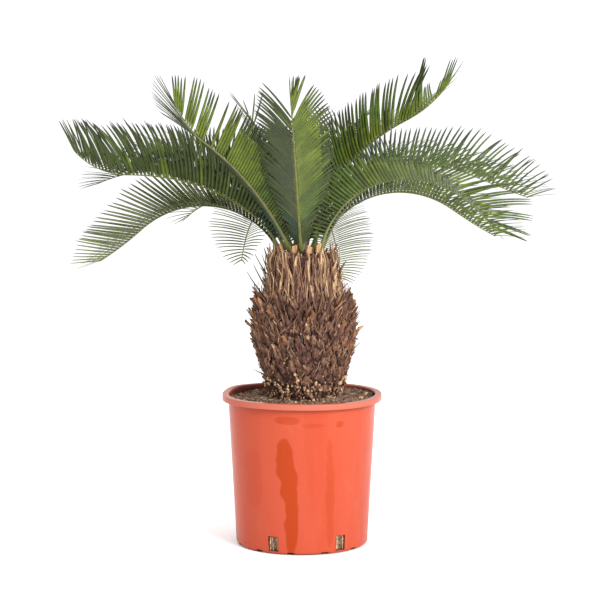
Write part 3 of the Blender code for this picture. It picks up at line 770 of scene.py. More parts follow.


# Painted shade: the crease finish is the darkest brown, laid in the creases between the knobs and on some
# flakes.
painted_crease_shade = bark_finish("bark crease", (0.028, 0.013, 0.011), (0.070, 0.035, 0.028), 90.0)
base_dark = bark_finish("frond base dark", (0.062, 0.030, 0.023), (0.150, 0.076, 0.054), 110.0)
base_brown = bark_finish("frond base brown", (0.100, 0.048, 0.033), (0.235, 0.125, 0.080), 120.0)
base_tan = bark_finish("frond base tan", (0.160, 0.086, 0.052), (0.340, 0.205, 0.125), 130.0)
base_torn = bark_finish("frond base torn", (0.160, 0.070, 0.034), (0.340, 0.160, 0.078), 130.0)
base_straw = bark_finish("frond base straw", (0.300, 0.180, 0.092), (0.560, 0.370, 0.215), 140.0)
bark_finishes = [base_dark, base_brown, base_tan, base_torn, base_straw, painted_crease_shade]
dark, brown, tan, torn, straw, crease = range(6)
for finish in bark_finishes:
    trunk_core.data.materials.append(finish)
# Painted shade: faces in the creases take the crease finish and faces near them the dark one, which others
# also take at random.
for face in trunk_core.data.polygons:
    inside = sum(deepness[i][0] for i in face.vertices) / len(face.vertices)
    draw = deepness[face.vertices[0]][1]
    if inside < 0.30:
        face.material_index = crease
    elif draw < 0.62 or inside < 0.5:
        face.material_index = dark
    else:
        face.material_index = brown
smoothed(trunk_core, 60)


def patchy(options, weights, place):
    """One of the finishes, drawn so that light and dark ones come in patches on the trunk."""
    lightness = {dark: -0.9, brown: 0.0, tan: 1.2, torn: 1.5, straw: 1.3, crease: -0.9}
    here = 1.9 * rough(place, 0.026, 11.0)
    bodies = [option[0] if isinstance(option, tuple) else option for option in options]
    scaled = [weight * max(0.05, 1.0 + lightness[body] * here) for body, weight in zip(bodies, weights)]
    return chance.choices(options, weights=scaled)[0]


def top_faces(form):
    """For each face of a form, whether it is one of those at its top."""
    return [bool(form.points[list(face)][:, 2].mean() > 0.80) for face in form.faces]


def two_tone(tops, body, top):
    """The finish of each face of a copy, with another one for those at its top."""
    return [top if is_top else body for is_top in tops]


def stood(form, foot, out, size, lean, sideways, number, curve=0.0):
    """A copy that stands at foot, leaning out by an angle in degrees and sideways by another."""
    lean, sideways = math.radians(lean), math.radians(sideways)
    side = Vector((-out.y, out.x, 0.0))
    up = Vector((0, 0, 1)) * math.cos(lean) + out * math.sin(lean)
    up = (up * math.cos(sideways) + side * math.sin(sideways)).normalized()
    across = (side - up * side.dot(up)).normalized()
    face = across.cross(up)
    width, depth, height = size
    x, y, z = form.points[:, 0:1], form.points[:, 1:2], form.points[:, 2:3]
    across, face, up = np.array(across) * width, np.array(face) * depth, np.array(up) * height
    placed = np.array(foot) + across * x + face * y + up * z
    return placed + np.array(out) * (curve * height * z**2), form.faces, number


# Scales: one torn frond base is modelled as a thick slab that narrows to its top, and set row by row.
bpy.ops.object.select_all(action="DESELECT")
bpy.ops.mesh.primitive_cube_add(size=1.0, location=(0, 0, 0.5))
scale_slab = bpy.context.object
bpy.ops.object.transform_apply(location=True)
bpy.ops.object.mode_set(mode="EDIT")
bpy.ops.mesh.select_all(action="SELECT")
bpy.ops.mesh.subdivide(number_cuts=2)
bpy.ops.object.mode_set(mode="OBJECT")
for vert in scale_slab.data.vertices:
    x, y, z = vert.co
    z = z**0.62
    vert.co.z = z
    vert.co.x = x * (1.0 - 0.80 * z**1.5)
    vert.co.y = y * (1.0 - 0.72 * z) - 0.9 * x * x * (1.0 - 0.4 * z)
scale = form_of(scale_slab)
scale_tops = top_faces(scale)

chance = random.Random(23)
scales = []
columns = 28
row_step = 0.0112
z = trunk_bark_low + 0.030
row = 0
while z < neck_height - 0.010:
    belly = (z - trunk_bark_low) / (neck_height - trunk_bark_low)
    for column in range(columns):
        if chance.random() > 0.35 + 1.0 * belly:
            continue
        turn = (column + 0.5 * (row % 2) + chance.uniform(-0.30, 0.30)) * math.tau / columns
        tall = (0.010 + 0.018 * belly**1.5) * chance.uniform(0.7, 1.5)
        size = (chance.uniform(0.0055, 0.0125), 0.0060, tall)
        foot = on_trunk(turn, z + chance.uniform(-0.005, 0.005), -0.0055)
        lean = chance.uniform(6, 34)
        sideways = chance.uniform(-24, 24)
        pairs = ((dark, dark), (dark, brown), (brown, brown), (brown, tan), (tan, straw), (torn, torn))
        body, top = patchy(pairs, (40, 20, 20, 10, 4, 6), foot)
        copy = stood(scale, foot, outward(turn), size, lean, sideways, two_tone(scale_tops, body, top), 0.12)
        scales.append(roughened(copy, 0.0036, 0.0014, 0.0030, scale.points[:, 2]))
    z += row_step
    row += 1

# Bigger bases have torn away from the rest and stand out, most of them round the belly.
TornBase = namedtuple("TornBase", "turn height length width lean sideways body top")
torn_bases = [
    TornBase(186, 0.430, 0.032, 0.0150, 40, 12, torn, tan),
    TornBase(196, 0.422, 0.026, 0.0110, 30, 20, tan, torn),
    TornBase(178, 0.398, 0.022, 0.0100, 34, 0, dark, brown),
    TornBase(206, 0.474, 0.036, 0.0120, 20, 10, tan, torn),
    TornBase(188, 0.470, 0.034, 0.0100, 26, 8, brown, tan),
    TornBase(222, 0.468, 0.030, 0.0100, 14, 18, torn, tan),
    TornBase(352, 0.418, 0.030, 0.0140, 34, -10, tan, straw),
    TornBase(344, 0.400, 0.024, 0.0120, 30, -16, torn, tan),
    TornBase(358, 0.452, 0.030, 0.0110, 24, -8, brown, torn),
    TornBase(2, 0.384, 0.020, 0.0120, 30, 0, tan, straw),
    TornBase(334, 0.472, 0.028, 0.0100, 14, -14, dark, brown),
    TornBase(274, 0.426, 0.012, 0.0120, 62, 0, brown, straw),
    TornBase(316, 0.424, 0.013, 0.0110, 60, 0, brown, tan),
]
drawn_bases = 30
for i in range(drawn_bases):
    turn = 360 * (i + chance.uniform(-0.4, 0.4)) / drawn_bases
    height = chance.uniform(0.365, 0.485)
    long, wide = chance.uniform(0.018, 0.034), chance.uniform(0.008, 0.014)
    body, top = chance.choice(((dark, brown), (brown, tan), (brown, torn), (torn, tan), (tan, straw)))
    lean, sideways = chance.uniform(14, 36), chance.uniform(-16, 16)
    torn_bases.append(TornBase(turn, height, long, wide, lean, sideways, body, top))
for base in torn_bases:
    turn = math.radians(base.turn)
    foot = on_trunk(turn, base.height, -0.0050)
    size = (base.width, 0.0080, base.length)
    numbers = two_tone(scale_tops, base.body, base.top)
    copy = stood(scale, foot, outward(turn), size, base.lean, base.sideways, numbers, 0.10)
    scales.append(roughened(copy, 0.0042, 0.0016, 0.0045, scale.points[:, 2]))
trunk_scales = gathered("trunk_scales", scales, bark_finishes)

# Strips: a flat thin slat that is bent up the neck for its long bases, and stood on the belly as splinters.
strip_parts = 9
strip = form_of(rod(6, [i / strip_parts for i in range(1, strip_parts)]))
strip_tops = top_faces(strip)


def rings_of(points):
    """The rings of a sliced rod: the share of its height at each, and which points are in it."""
    for share in sorted(set(np.round(points[:, 2], 5))):
        yield float(share), np.abs(points[:, 2] - share) < 1e-4


def bent(form, path, facing, width, depth, number):
    """A copy bent along a path. path, width and depth take the share of the way, facing is its outer side."""
    made = np.empty_like(form.points)
    for share, picked in rings_of(form.points):
        ahead = (path(min(1.0, share + 0.02)) - path(max(0.0, share - 0.02))).normalized()
        out = (facing - ahead * facing.dot(ahead)).normalized()
        across = out.cross(ahead)
        p = form.points[picked]
        ring = np.array(path(share)) + p[:, 0:1] * np.array(across) * width(share)
        made[picked] = ring + p[:, 1:2] * np.array(out) * depth(share)
    return made, form.faces, number


shoulder_radius = 0.0905
Layer = namedtuple("Layer", "count low high proud weights")
strips = []
for layer in (
    Layer(62, 0.578, 0.612, -0.0046, (24, 40, 26, 10)),
    Layer(74, 0.552, 0.609, -0.0022, (10, 36, 38, 16)),
    Layer(86, 0.520, 0.598, 0.0006, (6, 24, 42, 28)),
):
    for i in range(layer.count):
        turn = (i + chance.uniform(-0.4, 0.4)) * math.tau / layer.count
        start = 0.482 + chance.uniform(-0.022, 0.034)
        top = chance.uniform(layer.low, layer.high)
        drift = math.radians(chance.uniform(-14, 14))
        flare = chance.choice((0.0005, 0.002, 0.006, 0.018)) * chance.uniform(0.5, 1.2)
        phase = chance.uniform(0, math.tau)
        wave = chance.uniform(0.0002, 0.0012)
        half = chance.choice((0.0016, 0.0026, 0.0037, 0.0049)) * chance.uniform(0.8, 1.2)
        twist = chance.uniform(-0.5, 0.5)

        def strip_path(share):
            z = start + (top - start) * share
            around = turn + drift * share + wave / 0.07 * math.sin(phase + 7 * share)
            lift = layer.proud + wave * math.sin(phase + 11 * share)
            lift += flare * max(0.0, share - 0.45) ** 2 * 3.3
            under = girth(min(z, trunk_top))
            if z <= neck_height:
                under = min(under, shoulder_radius) - 0.004 * (1 - share)
            reach = under + lift - 0.006 * max(0.0, 1 - share / 0.12)
            return Vector((axis_x(z) + reach * math.cos(around), reach * math.sin(around), z))

        def strip_width(share):
            narrowed = 1.0 - 0.85 * max(0.0, share - 0.72) / 0.28
            return half * (0.85 + 0.25 * math.sin(phase + 5 * share)) * narrowed

        def strip_depth(share):
            return 0.0009

        body = patchy((dark, brown, tan, straw), layer.weights, strip_path(0.6))
        paler = {dark: dark, brown: tan, tan: straw, straw: straw}[body]
        numbers = two_tone(strip_tops, body, paler if chance.random() < 0.7 else body)
        strips.append(bent(strip, strip_path, outward(turn + twist), strip_width, strip_depth, numbers))
neck_strips = gathered("neck_strips", strips, bark_finishes)

splinter_count = 560
tapered = strip.points.copy()
tapered[:, :2] *= 1 - 0.7 * strip.points[:, 2:3] ** 2
splinter = Form(tapered, strip.faces)
splinters = []
for i in range(splinter_count):
    turn = chance.uniform(0, math.tau)
    height = 0.330 + 0.160 * chance.random() ** 0.7
    foot = on_trunk(turn, height, -0.003)
    tall = chance.uniform(0.009, 0.028) * (0.7 + 0.6 * (height - 0.33) / 0.16)
    lean = chance.uniform(6, 40)
    sideways = chance.uniform(-32, 32)
    body = patchy((dark, brown, tan, torn, straw), (32, 34, 22, 7, 5), foot)
    size = (chance.uniform(0.0008, 0.0027), chance.uniform(0.0005, 0.0010), tall)
    copy = stood(splinter, foot, outward(turn), size, lean, sideways, body, chance.uniform(-0.1, 0.25))
    splinters.append(roughened(copy, 0.006, 0.0007))
trunk_splinters = gathered("trunk_splinters", splinters, bark_finishes)

# Flakes: small crumbs of bark all over the belly, so that no face of it is smooth.
flake_count = 2600
flakes = []
for i in range(flake_count):
    turn = chance.uniform(0, math.tau)
    height = chance.uniform(0.304, 0.492)
    size = chance.choice((0.0018, 0.0026, 0.0036, 0.0050)) * chance.uniform(0.7, 1.2)
    inside, draw = knob_cell(girth(height) * math.cos(turn), girth(height) * math.sin(turn), height)
    place = on_trunk(turn, height, -core_sunk + 0.0070 * inside + chance.uniform(0.0, 0.0020))
    long = 0.8 + 2.0 * max(0.0, (height - 0.33) / 0.16)
    shape = (size * chance.uniform(0.5, 1.0), size * 0.5, size * long * chance.uniform(0.6, 1.3))
    turns = (chance.uniform(-0.7, 0.7), chance.uniform(-0.7, 0.7), turn + math.pi / 2)
    number = patchy((dark, brown, tan, torn, crease), (40, 30, 12, 4, 14), place)
    flakes.append(turned_copy(crumb, shape, turns, place, number))
bark_flakes = gathered("bark_flakes", flakes, bark_finishes, smooth=False)

# Stumps: the short dead bases that fill the top of the trunk between the living stalks.
stump_count = 170
golden_turn = math.radians(137.5)
stumps = []
for i in range(stump_count):
    turn = i * golden_turn
    reach = 0.058 * math.sqrt((i + 6) / (stump_count + 6))
    out = outward(turn)
    foot = Vector((axis_x(trunk_top) + reach * out.x, reach * out.y, trunk_top - 0.012))
    tall = chance.uniform(0.006, 0.018)
    size = (chance.uniform(0.0045, 0.0085), chance.uniform(0.0040, 0.0060), tall)
    body, top = chance.choices(((dark, brown), (brown, tan), (tan, straw)), weights=(30, 38, 32))[0]
    lean = 4 + 500 * reach + chance.uniform(-5, 5)
    copy = stood(scale, foot, out, size, lean, chance.uniform(-9, 9), two_tone(scale_tops, body, top))
    stumps.append(roughened(copy, 0.0040, 0.0008, 0.0012, scale.points[:, 2]))
crown_stumps = gathered("crown_stumps", stumps, bark_finishes)

# Spines and hairs: the stiff leaflets left on dead stalks, nearly black, and pale fibres of the old sheaths.
needle = form_of(rod(4, [i / 6 for i in range(1, 6)]))
Spine = namedtuple("Spine", "turn height length lean bow")
spines = [
    Spine(186, 0.540, 0.060, 36, -0.10),
    Spine(178, 0.545, 0.045, 24, -0.06),
    Spine(190, 0.502, 0.066, 38, -0.08),
    Spine(183, 0.515, 0.058, 30, -0.04),
    Spine(172, 0.486, 0.048, 20, -0.05),
    Spine(182, 0.452, 0.032, 36, 0.04),
    Spine(195, 0.458, 0.026, 28, 0.0),
    Spine(176, 0.405, 0.026, 30, 0.03),
    Spine(188, 0.344, 0.026, 62, 0.0),
    Spine(352, 0.448, 0.032, 34, 0.05),
    Spine(358, 0.462, 0.028, 28, 0.0),
    Spine(4, 0.475, 0.024, 22, 0.0),
    Spine(349, 0.424, 0.016, 120, 0.0),
    Spine(8, 0.540, 0.026, 34, 0.0),
]
drawn_spines = 46
for i in range(drawn_spines):
    turn, height, length = chance.uniform(0, 360), chance.uniform(0.335, 0.545), chance.uniform(0.014, 0.036)
    spines.append(Spine(turn, height, length, chance.uniform(16, 52), chance.uniform(-0.1, 0.1)))
fibres = []
for spine in spines:
    turn = math.radians(spine.turn)
    out = outward(turn)
    foot = on_trunk(turn, spine.height, -0.004)
    lean = math.radians(spine.lean)
    aim = Vector((0, 0, 1)) * math.cos(lean) + out * math.sin(lean)
    thick = chance.uniform(0.0014, 0.0021)

    def spine_path(share):
        return foot + aim * spine.length * share + out * spine.bow * spine.length * share**2

    def spine_width(share):
        return thick * (1.0 - 0.70 * share)

    fibres.append(bent(needle, spine_path, out, spine_width, spine_width, 0))
hair_count = 420
for i in range(hair_count):
    turn = chance.uniform(0, math.tau)
    height = chance.choice((chance.uniform(0.345, 0.480), chance.uniform(0.490, 0.565)))
    out = outward(turn)
    side = Vector((-out.y, out.x, 0.0))
    foot = on_trunk(turn, height, 0.001)
    length = chance.uniform(0.012, 0.040)
    swing = chance.uniform(-0.6, 0.6)
    curl = chance.uniform(-0.5, 0.5)
    push = chance.uniform(0.06, 0.22)
    thick = chance.uniform(0.00035, 0.0008)

    def hair_path(share):
        sway = side * length * (swing * share + curl * math.sin(3.0 * share) * share)
        lift = out * length * push * math.sin(math.pi * min(1.0, share * 1.1))
        return foot + sway + lift + Vector((0, 0, length * share * (1.0 - 0.25 * abs(swing))))

    def hair_width(share):
        return thick * (1.1 - 0.7 * share)

    body = chance.choices((1, 2, 3), weights=(30, 50, 20))[0]
    fibres.append(bent(needle, hair_path, out, hair_width, hair_width, body))
dead_colours = ((0.020, 0.017, 0.016), (0.070, 0.058, 0.050))
spine_black = mottled("dead leaflet", (0.030, 0.026, 0.024), 0.7, 0.3, (90.0, 0.4, 0.6), *dead_colours)
trunk_fibres = gathered("trunk_fibres", fibres, [spine_black, base_brown, base_tan, base_straw])

# Chips: torn pale ends and bits of bark caught between the knobs, most of them just above the compost.
chip_count = 720
chips = []
for i in range(chip_count):
    turn = chance.uniform(0, math.tau)
    low = chance.random() < 0.80
    height = 0.298 + 0.044 * chance.random() ** 1.2 if low else chance.uniform(0.34, 0.48)
    size = chance.choice((0.0020, 0.0030, 0.0042, 0.0058, 0.0084)) * chance.uniform(0.7, 1.2)
    shape = (size * chance.uniform(0.5, 1.2), size * 0.5, size * chance.uniform(0.7, 1.7))
    place = on_trunk(turn, height, chance.uniform(-0.0020, 0.0025))
    tips = (chance.uniform(-0.6, 0.6), chance.uniform(-0.6, 0.6))
    turns = (*tips, turn + math.pi / 2 + chance.uniform(-0.5, 0.5))
    number = chance.choices((0, 1, 2, 3), weights=(38, 8, 27, 27))[0]
    chips.append(turned_copy(crumb, shape, turns, place, number))
trunk_chips = gathered("trunk_chips", chips, [pale_chip, base_torn, base_tan, base_brown], smooth=False)
for piece in (
    trunk_core,
    trunk_scales,
    neck_strips,
    trunk_splinters,
    bark_flakes,
    crown_stumps,
    trunk_fibres,
    trunk_chips,
):
    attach(piece, "root")
    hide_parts("trunk")

# Cut stalks. Where old fronds were pruned, flat stubs of their stalks stand round the top of the trunk:
# fibrous tan sides and a paler, slightly slanted cut.
bpy.ops.object.select_all(action="DESELECT")
bpy.ops.mesh.primitive_cube_add(size=1.0, location=(0, 0, 0.5))
stub_block = bpy.context.object
bpy.ops.object.transform_apply(location=True)
bpy.ops.object.mode_set(mode="EDIT")
bpy.ops.mesh.select_all(action="SELECT")
bpy.ops.mesh.bevel(offset=0.14, segments=2, affect="EDGES")
bpy.ops.object.mode_set(mode="OBJECT")
stub = form_of(sliced(stub_block, [i / 5 for i in range(1, 5)]))
stub_tops = [all(stub.points[corner][2] > 0.97 for corner in face) for face in stub.faces]
cut_stalks = []
CutStalk = namedtuple("CutStalk", "node width lean slant")
for stalk in (
    CutStalk("cut_stub_front", 0.0100, 6, 0.20),
    CutStalk("cut_stub_front_right", 0.0105, 9, -0.22),
    CutStalk("cut_stub_right", 0.0095, 7, 0.30),
    CutStalk("cut_stub_left", 0.0080, -8, -0.25),
    CutStalk("cut_stub_back", 0.0095, 4, 0.15),
):
    low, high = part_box(stalk.node)
    middle = (low + high) / 2
    out = Vector((middle.x, middle.y, 0.0)).normalized()
    foot = Vector((middle.x, middle.y, low.z)) - out * 0.001
    slanted = stub.points.copy()
    slanted[:, 2] *= 1.0 + stalk.slant * stub.points[:, 0] - abs(stalk.slant) / 2
    size = (stalk.width, 0.0062, high.z - low.z)
    numbers = two_tone(stub_tops, 0, 1)
    copy = stood(Form(slanted, stub.faces), foot, out, size, 8, stalk.lean, numbers)
    cut_stalks.append(roughened(copy, 0.0045, 0.0005))
fibre_colours = ((0.255, 0.120, 0.045), (0.520, 0.310, 0.150))
fibre_look = {"stretch": (1, 1, 0.12), "relief": (0.4, 0.0008)}
stalk_tan = mottled(
    "cut stalk side", (0.38, 0.22, 0.10), 0.8, 0.2, (150.0, 0.3, 0.7), *fibre_colours, **fibre_look
)
cut_colours = ((0.60, 0.42, 0.25), (0.36, 0.20, 0.095))
stalk_cut = mottled("cut stalk end", (0.55, 0.38, 0.22), 0.8, 0.2, (600.0, 0.4, 0.6), *cut_colours)
stub_ends = gathered("cut_stalk_ends", cut_stalks, [stalk_tan, stalk_cut])
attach(stub_ends, "root")
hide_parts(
    "cut_stub_front", "cut_stub_front_right", "cut_stub_right", "cut_stub_left", "cut_stub_back"
)

# The growing point. Narrow woolly scales, packed into a cone in the middle of the crown, guard the bud.
bud_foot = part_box("crown_bud")[0].z
bud_scale_count = 54
bud_scales = []
for i in range(bud_scale_count):
    turn = i * golden_turn
    share = i / (bud_scale_count - 1)
    reach = 0.0080 * (1.0 - 0.72 * share)
    out = outward(turn)
    foot = Vector((0, 0, bud_foot + 0.0005 + 0.022 * share)) + out * reach
    bud_scales.append(stood(scale, foot, out, (0.0060, 0.0046, 0.0310), 5 - 9 * share, 0.0, 0, 0.02))
wool_colours = ((0.095, 0.065, 0.030), (0.210, 0.155, 0.080))
wool_look = {"stretch": (1, 1, 0.2), "relief": (0.5, 0.0006)}
bud_wool = mottled("bud wool", (0.17, 0.12, 0.06), 0.95, 0.5, (300.0, 0.35, 0.65), *wool_colours, **wool_look)
bud_wool.node_tree.nodes["Principled BSDF"].inputs["Sheen Weight"].default_value = 0.4
crown_scales = gathered("crown_scales", bud_scales, [bud_wool])
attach(crown_scales, "root")
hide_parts("crown_bud")

# The fronds. Each is a stiff green rib with thirty-five to seventy pairs of narrow leathery leaflets, which
# grow out of it, rise in a V and curve at their tips. The ribs follow the solids' own rule.
Frond = namedtuple(
    "Frond",
    "name azimuth ring length launch arrive bend curl sweep roll opening leaflet",
    defaults=(1.0, 0.0, 0.0, 0.0, 38.0, 0.130),
)
fronds = (
    Frond("frond_front", 267, 0.033, 0.481, 42, 40, opening=36, leaflet=0.116),
    Frond("frond_left_high", 234, 0.036, 0.485, 56, 18, bend=0.82, curl=40, roll=8, leaflet=0.118),
    Frond("frond_right_high", 341, 0.030, 0.455, 101, 12, bend=0.62, curl=42, roll=-14, leaflet=0.118),
    Frond("frond_left_mid", 193, 0.045, 0.485, 79, -12, bend=0.52, curl=62, opening=54, leaflet=0.142),
    Frond("frond_right_mid", 328, 0.044, 0.490, 82, -51, bend=0.83, sweep=-1),
    Frond("frond_left_low", 170, 0.047, 0.440, 65, -72, bend=0.87, curl=40),
    Frond("frond_right_far", 9, 0.040, 0.512, 69, -60, bend=1.15, curl=40, leaflet=0.137),
    Frond("frond_right_low", 27, 0.044, 0.488, 84, -56, bend=0.65, curl=30, sweep=2),
    Frond("frond_left_far", 180, 0.027, 0.445, 58, -25, bend=1.15, leaflet=0.120),
    Frond("frond_back_left_hanging", 115, 0.045, 0.375, 47, -78, bend=1.15, curl=15, sweep=-8, leaflet=0.096),
    Frond("frond_back_right_hanging", 79, 0.046, 0.490, 50, -64, bend=0.75, curl=15, leaflet=0.100),
    Frond("frond_back_left_low", 136, 0.046, 0.344, 58, -35, bend=0.9, sweep=-4, leaflet=0.105),
    Frond("frond_back_right", 48, 0.030, 0.450, 68, -26, bend=0.9),
    Frond("frond_back_left", 148, 0.030, 0.440, 70, -20, bend=0.95),
    Frond("frond_back_mid", 98, 0.033, 0.460, 70, -22, bend=0.9),
    Frond("frond_back_high", 66, 0.018, 0.350, 80, 12, leaflet=0.115),
    Frond("frond_back_left_high", 127, 0.018, 0.330, 80, 36, leaflet=0.112),
)
path_steps = 120
curl_from = 0.75
bare_share = 0.13
leaflet_from = 0.055


def rib_path(frond):
    """The points of a rib's middle line, which climbs at its launch angle, arches over and curls on."""
    turn = math.radians(frond.azimuth)
    place = Vector((frond.ring * math.cos(turn), frond.ring * math.sin(turn), trunk_top + gap))
    path = [place.copy()]
    for i in range(path_steps):
        share = (i + 0.5) / path_steps
        level = frond.launch + (frond.arrive - frond.launch) * share**frond.bend
        level = math.radians(level + frond.curl * max(0.0, share - curl_from) / (1 - curl_from))
        turn = math.radians(frond.azimuth + frond.sweep * share)
        ahead = Vector((math.cos(level) * math.cos(turn), math.cos(level) * math.sin(turn), math.sin(level)))
        place = place + ahead * frond.length / path_steps
        path.append(place.copy())
    return path


def rib_frame(frond, path, share):
    """At a share of the rib's length its point, and the directions along it, to its left and up out of it."""
    spot = share * path_steps
    i = min(int(spot), path_steps - 1)
    place = path[i].lerp(path[i + 1], spot - i)
    along = (path[min(i + 2, path_steps)] - path[max(i - 1, 0)]).normalized()
    turn = math.radians(frond.azimuth + frond.sweep * share)
    left = Vector((-math.sin(turn), math.cos(turn), 0.0))
    left = (left - along * left.dot(along)).normalized()
    up = along.cross(left)
    roll = math.radians(frond.roll)
    rolled = left * math.cos(roll) + up * math.sin(roll)
    return place, along, rolled, up * math.cos(roll) - left * math.sin(roll)


def leaflet_length(frond, share, tip):
    """Short near the trunk, full along the frond, and a share of that at its tip."""
    if share < bare_share:
        return frond.leaflet * (0.24 + 0.14 * (share - leaflet_from) / (bare_share - leaflet_from))
    along = (share - bare_share) / (1 - bare_share)
    rise = 0.38 + 0.62 * min(1.0, along / 0.25) ** 0.8
    fall = 1.0 - (1.0 - tip) * max(0.0, (along - 0.70) / 0.30) ** 1.9
    return frond.leaflet * rise * fall


rib_parts = 64
rib = form_of(rod(8, [i / rib_parts for i in range(1, rib_parts)]))

leaflet_rod = rod(4, (0.04, 0.12, 0.22, 0.36, 0.52, 0.66, 0.78, 0.88, 0.95))
for vert in leaflet_rod.data.vertices:
    up = vert.co.z
    outline = min(1.0, 0.62 + up / 0.22) * (1.0 - 0.50 * max(0.0, (up - 0.40) / 0.60))
    outline *= 1.0 - 0.80 * max(0.0, (up - 0.86) / 0.14) ** 1.5
    # The midrib is a ridge below, and the edges roll down a little.
    if abs(vert.co.x) > 0.5:
        vert.co.y = -0.45 * outline
    elif vert.co.y > 0:
        vert.co.y = 0.55 * outline
    else:
        vert.co.y = -0.75 * (1.0 - 0.7 * up)
    vert.co.x *= outline
leaflet = form_of(leaflet_rod)
leaflet_depth = 0.0007
# The zone of each face of the leaflet: 0 its foot, 1 the light part near the rib, 2 its body, 3 the outer
# part and 4 its tip.
zone_starts = (0.05, 0.30, 0.60, 0.84)
leaflet_zones = []
for face in leaflet.faces:
    middle = leaflet.points[list(face)][:, 2].mean()
    leaflet_zones.append(int(np.searchsorted(zone_starts, middle)))
Aim = namedtuple("Aim", "side forward lift droop sweep slat width rib_half")


def leaflet_points(frame, aim, reach):
    """The points of a leaflet that leaves the rib at its aim's angles, then droops and sweeps on."""
    place, along, left, up = frame
    side = aim.side
    ahead = along * math.cos(aim.forward)
    ahead += (left * side * math.cos(aim.lift) + up * math.sin(aim.lift)) * math.sin(aim.forward)
    sag = aim.droop * (1.0 - ahead.z**2)
    bend = np.array((along * aim.sweep - Vector((0, 0, sag))) * reach)
    start = place + left * side * aim.rib_half
    run = np.array(place + ahead * reach - start)
    x, y, t = leaflet.points[:, 0:1], leaflet.points[:, 1:2], leaflet.points[:, 2:3]
    line = np.array(start) + run * t + bend * t**2.2
    tangent = run + 2.2 * bend * t**1.2
    tangent /= np.linalg.norm(tangent, axis=1)[:, None]
    onward = np.array(along) - tangent * (tangent @ np.array(along))[:, None]
    onward /= np.linalg.norm(onward, axis=1)[:, None]
    out = np.cross(tangent, -side * onward)
    # The edge nearer the frond's foot is the lower one, so that the blades lie like slats.
    twist = aim.slat * (0.45 + 0.55 * np.minimum(1.0, t / 0.2))
    across = -side * (onward * np.cos(twist) + out * np.sin(twist))
    out = out * np.cos(twist) - onward * np.sin(twist)
    return line + across * x * aim.width + out * y * leaflet_depth


rib_finish, shader = finish_of("frond rib", (0.11, 0.13, 0.036), 0.5, 0.25)
fleck = blotches(rib_finish, 60.0, 0.42, 0.66)
tone = coloured(rib_finish, fleck, (0.098, 0.122, 0.028), (0.160, 0.140, 0.050))
rib_finish.node_tree.links.new(tone, shader.inputs["Base Color"])
embossed(rib_finish, shader, blotches(rib_finish, 300.0, 0.3, 0.7), 0.15, 0.0004)


def leaf_finish(name, colour):
    """The waxy skin of a leaflet, in fine lighter and deeper blotches of its green."""
    made, shader = finish_of(name, colour, 0.5, 0.22)
    light = tuple(1.25 * part for part in colour)
    deep = tuple(0.72 * part for part in colour)
    shade = blotches(made, 26.0, 0.36, 0.66)
    fine = blotches(made, 210.0, 0.30, 0.70)
    tone = coloured(made, shade, deep, light)
    tone = coloured(made, ranged(made, fine, 0.0, 0.35), tone, deep)
    made.node_tree.links.new(tone, shader.inputs["Base Color"])
    made.node_tree.links.new(ranged(made, fine, 0.42, 0.56), shader.inputs["Roughness"])
    embossed(made, shader, fine, 0.12, 0.0004)
    return made


# The greens are lit and shaded copies of one leaf green, as painted light and shade: bright for faces turned
# to the light, mid and deep for those turned from it, blue green as painted shade in the heart of the crown,
# and pale a paler green brightened as painted light shining through thin leaflets.
bare, bright, mid, deep, pale, blue, dark_tip, grey_tip = range(8)
leaf_finishes = [
    leaf_finish("leaflet foot", (0.110, 0.130, 0.028)),
    leaf_finish("leaflet bright green", (0.088, 0.122, 0.014)),
    leaf_finish("leaflet mid green", (0.056, 0.088, 0.014)),
    leaf_finish("leaflet deep green", (0.042, 0.058, 0.014)),
    leaf_finish("leaflet pale green", (0.150, 0.175, 0.068)),
    leaf_finish("leaflet blue green", (0.022, 0.044, 0.020)),
    leaf_finish("leaflet dark tip", (0.030, 0.040, 0.020)),
    leaf_finish("leaflet grey tip", (0.060, 0.075, 0.040)),
]
# How the leaflets of a frond look.
# left, right, outer: the greens of those on its left, on its right, and of their outer part; left and right
# differ as painted light and shade, lit on one side of the frond and shaded on the other
# slat: how far they are turned on edge like slats, in degrees
# gather: how strongly they gather at their tips
# forward, fan: the angle between them and the rib, and how far that closes towards the frond's tip
# apart, half: how far apart they are and half their width
# tip: their length at the frond's tip, as a share of the full length
# droop, sweep: how far they droop and sweep towards the tip, close: how far the last ones close
# tilt, skew: how far the frond is rolled over and its two sides are pushed along the rib, in degrees
# loose: how loosely the last ones stand
# gaps: stretches of one side, from share to share, where they are missing
# clump: the share where they are pulled together, plume: the share from which they stand up in one tuft
# right_end: fan and tip of the right side where they differ
Look = namedtuple(
    "Look",
    "left right outer slat gather forward fan apart half tip droop sweep close tilt skew loose gaps clump"
    " plume right_end",
    defaults=(dark_tip, 14, 0.7, 62, 0.8, 0.0088, 0.0029, 0.30, 0.16, 0.06, 18, 0, 0, 0, (), 0, 1, ()),
)
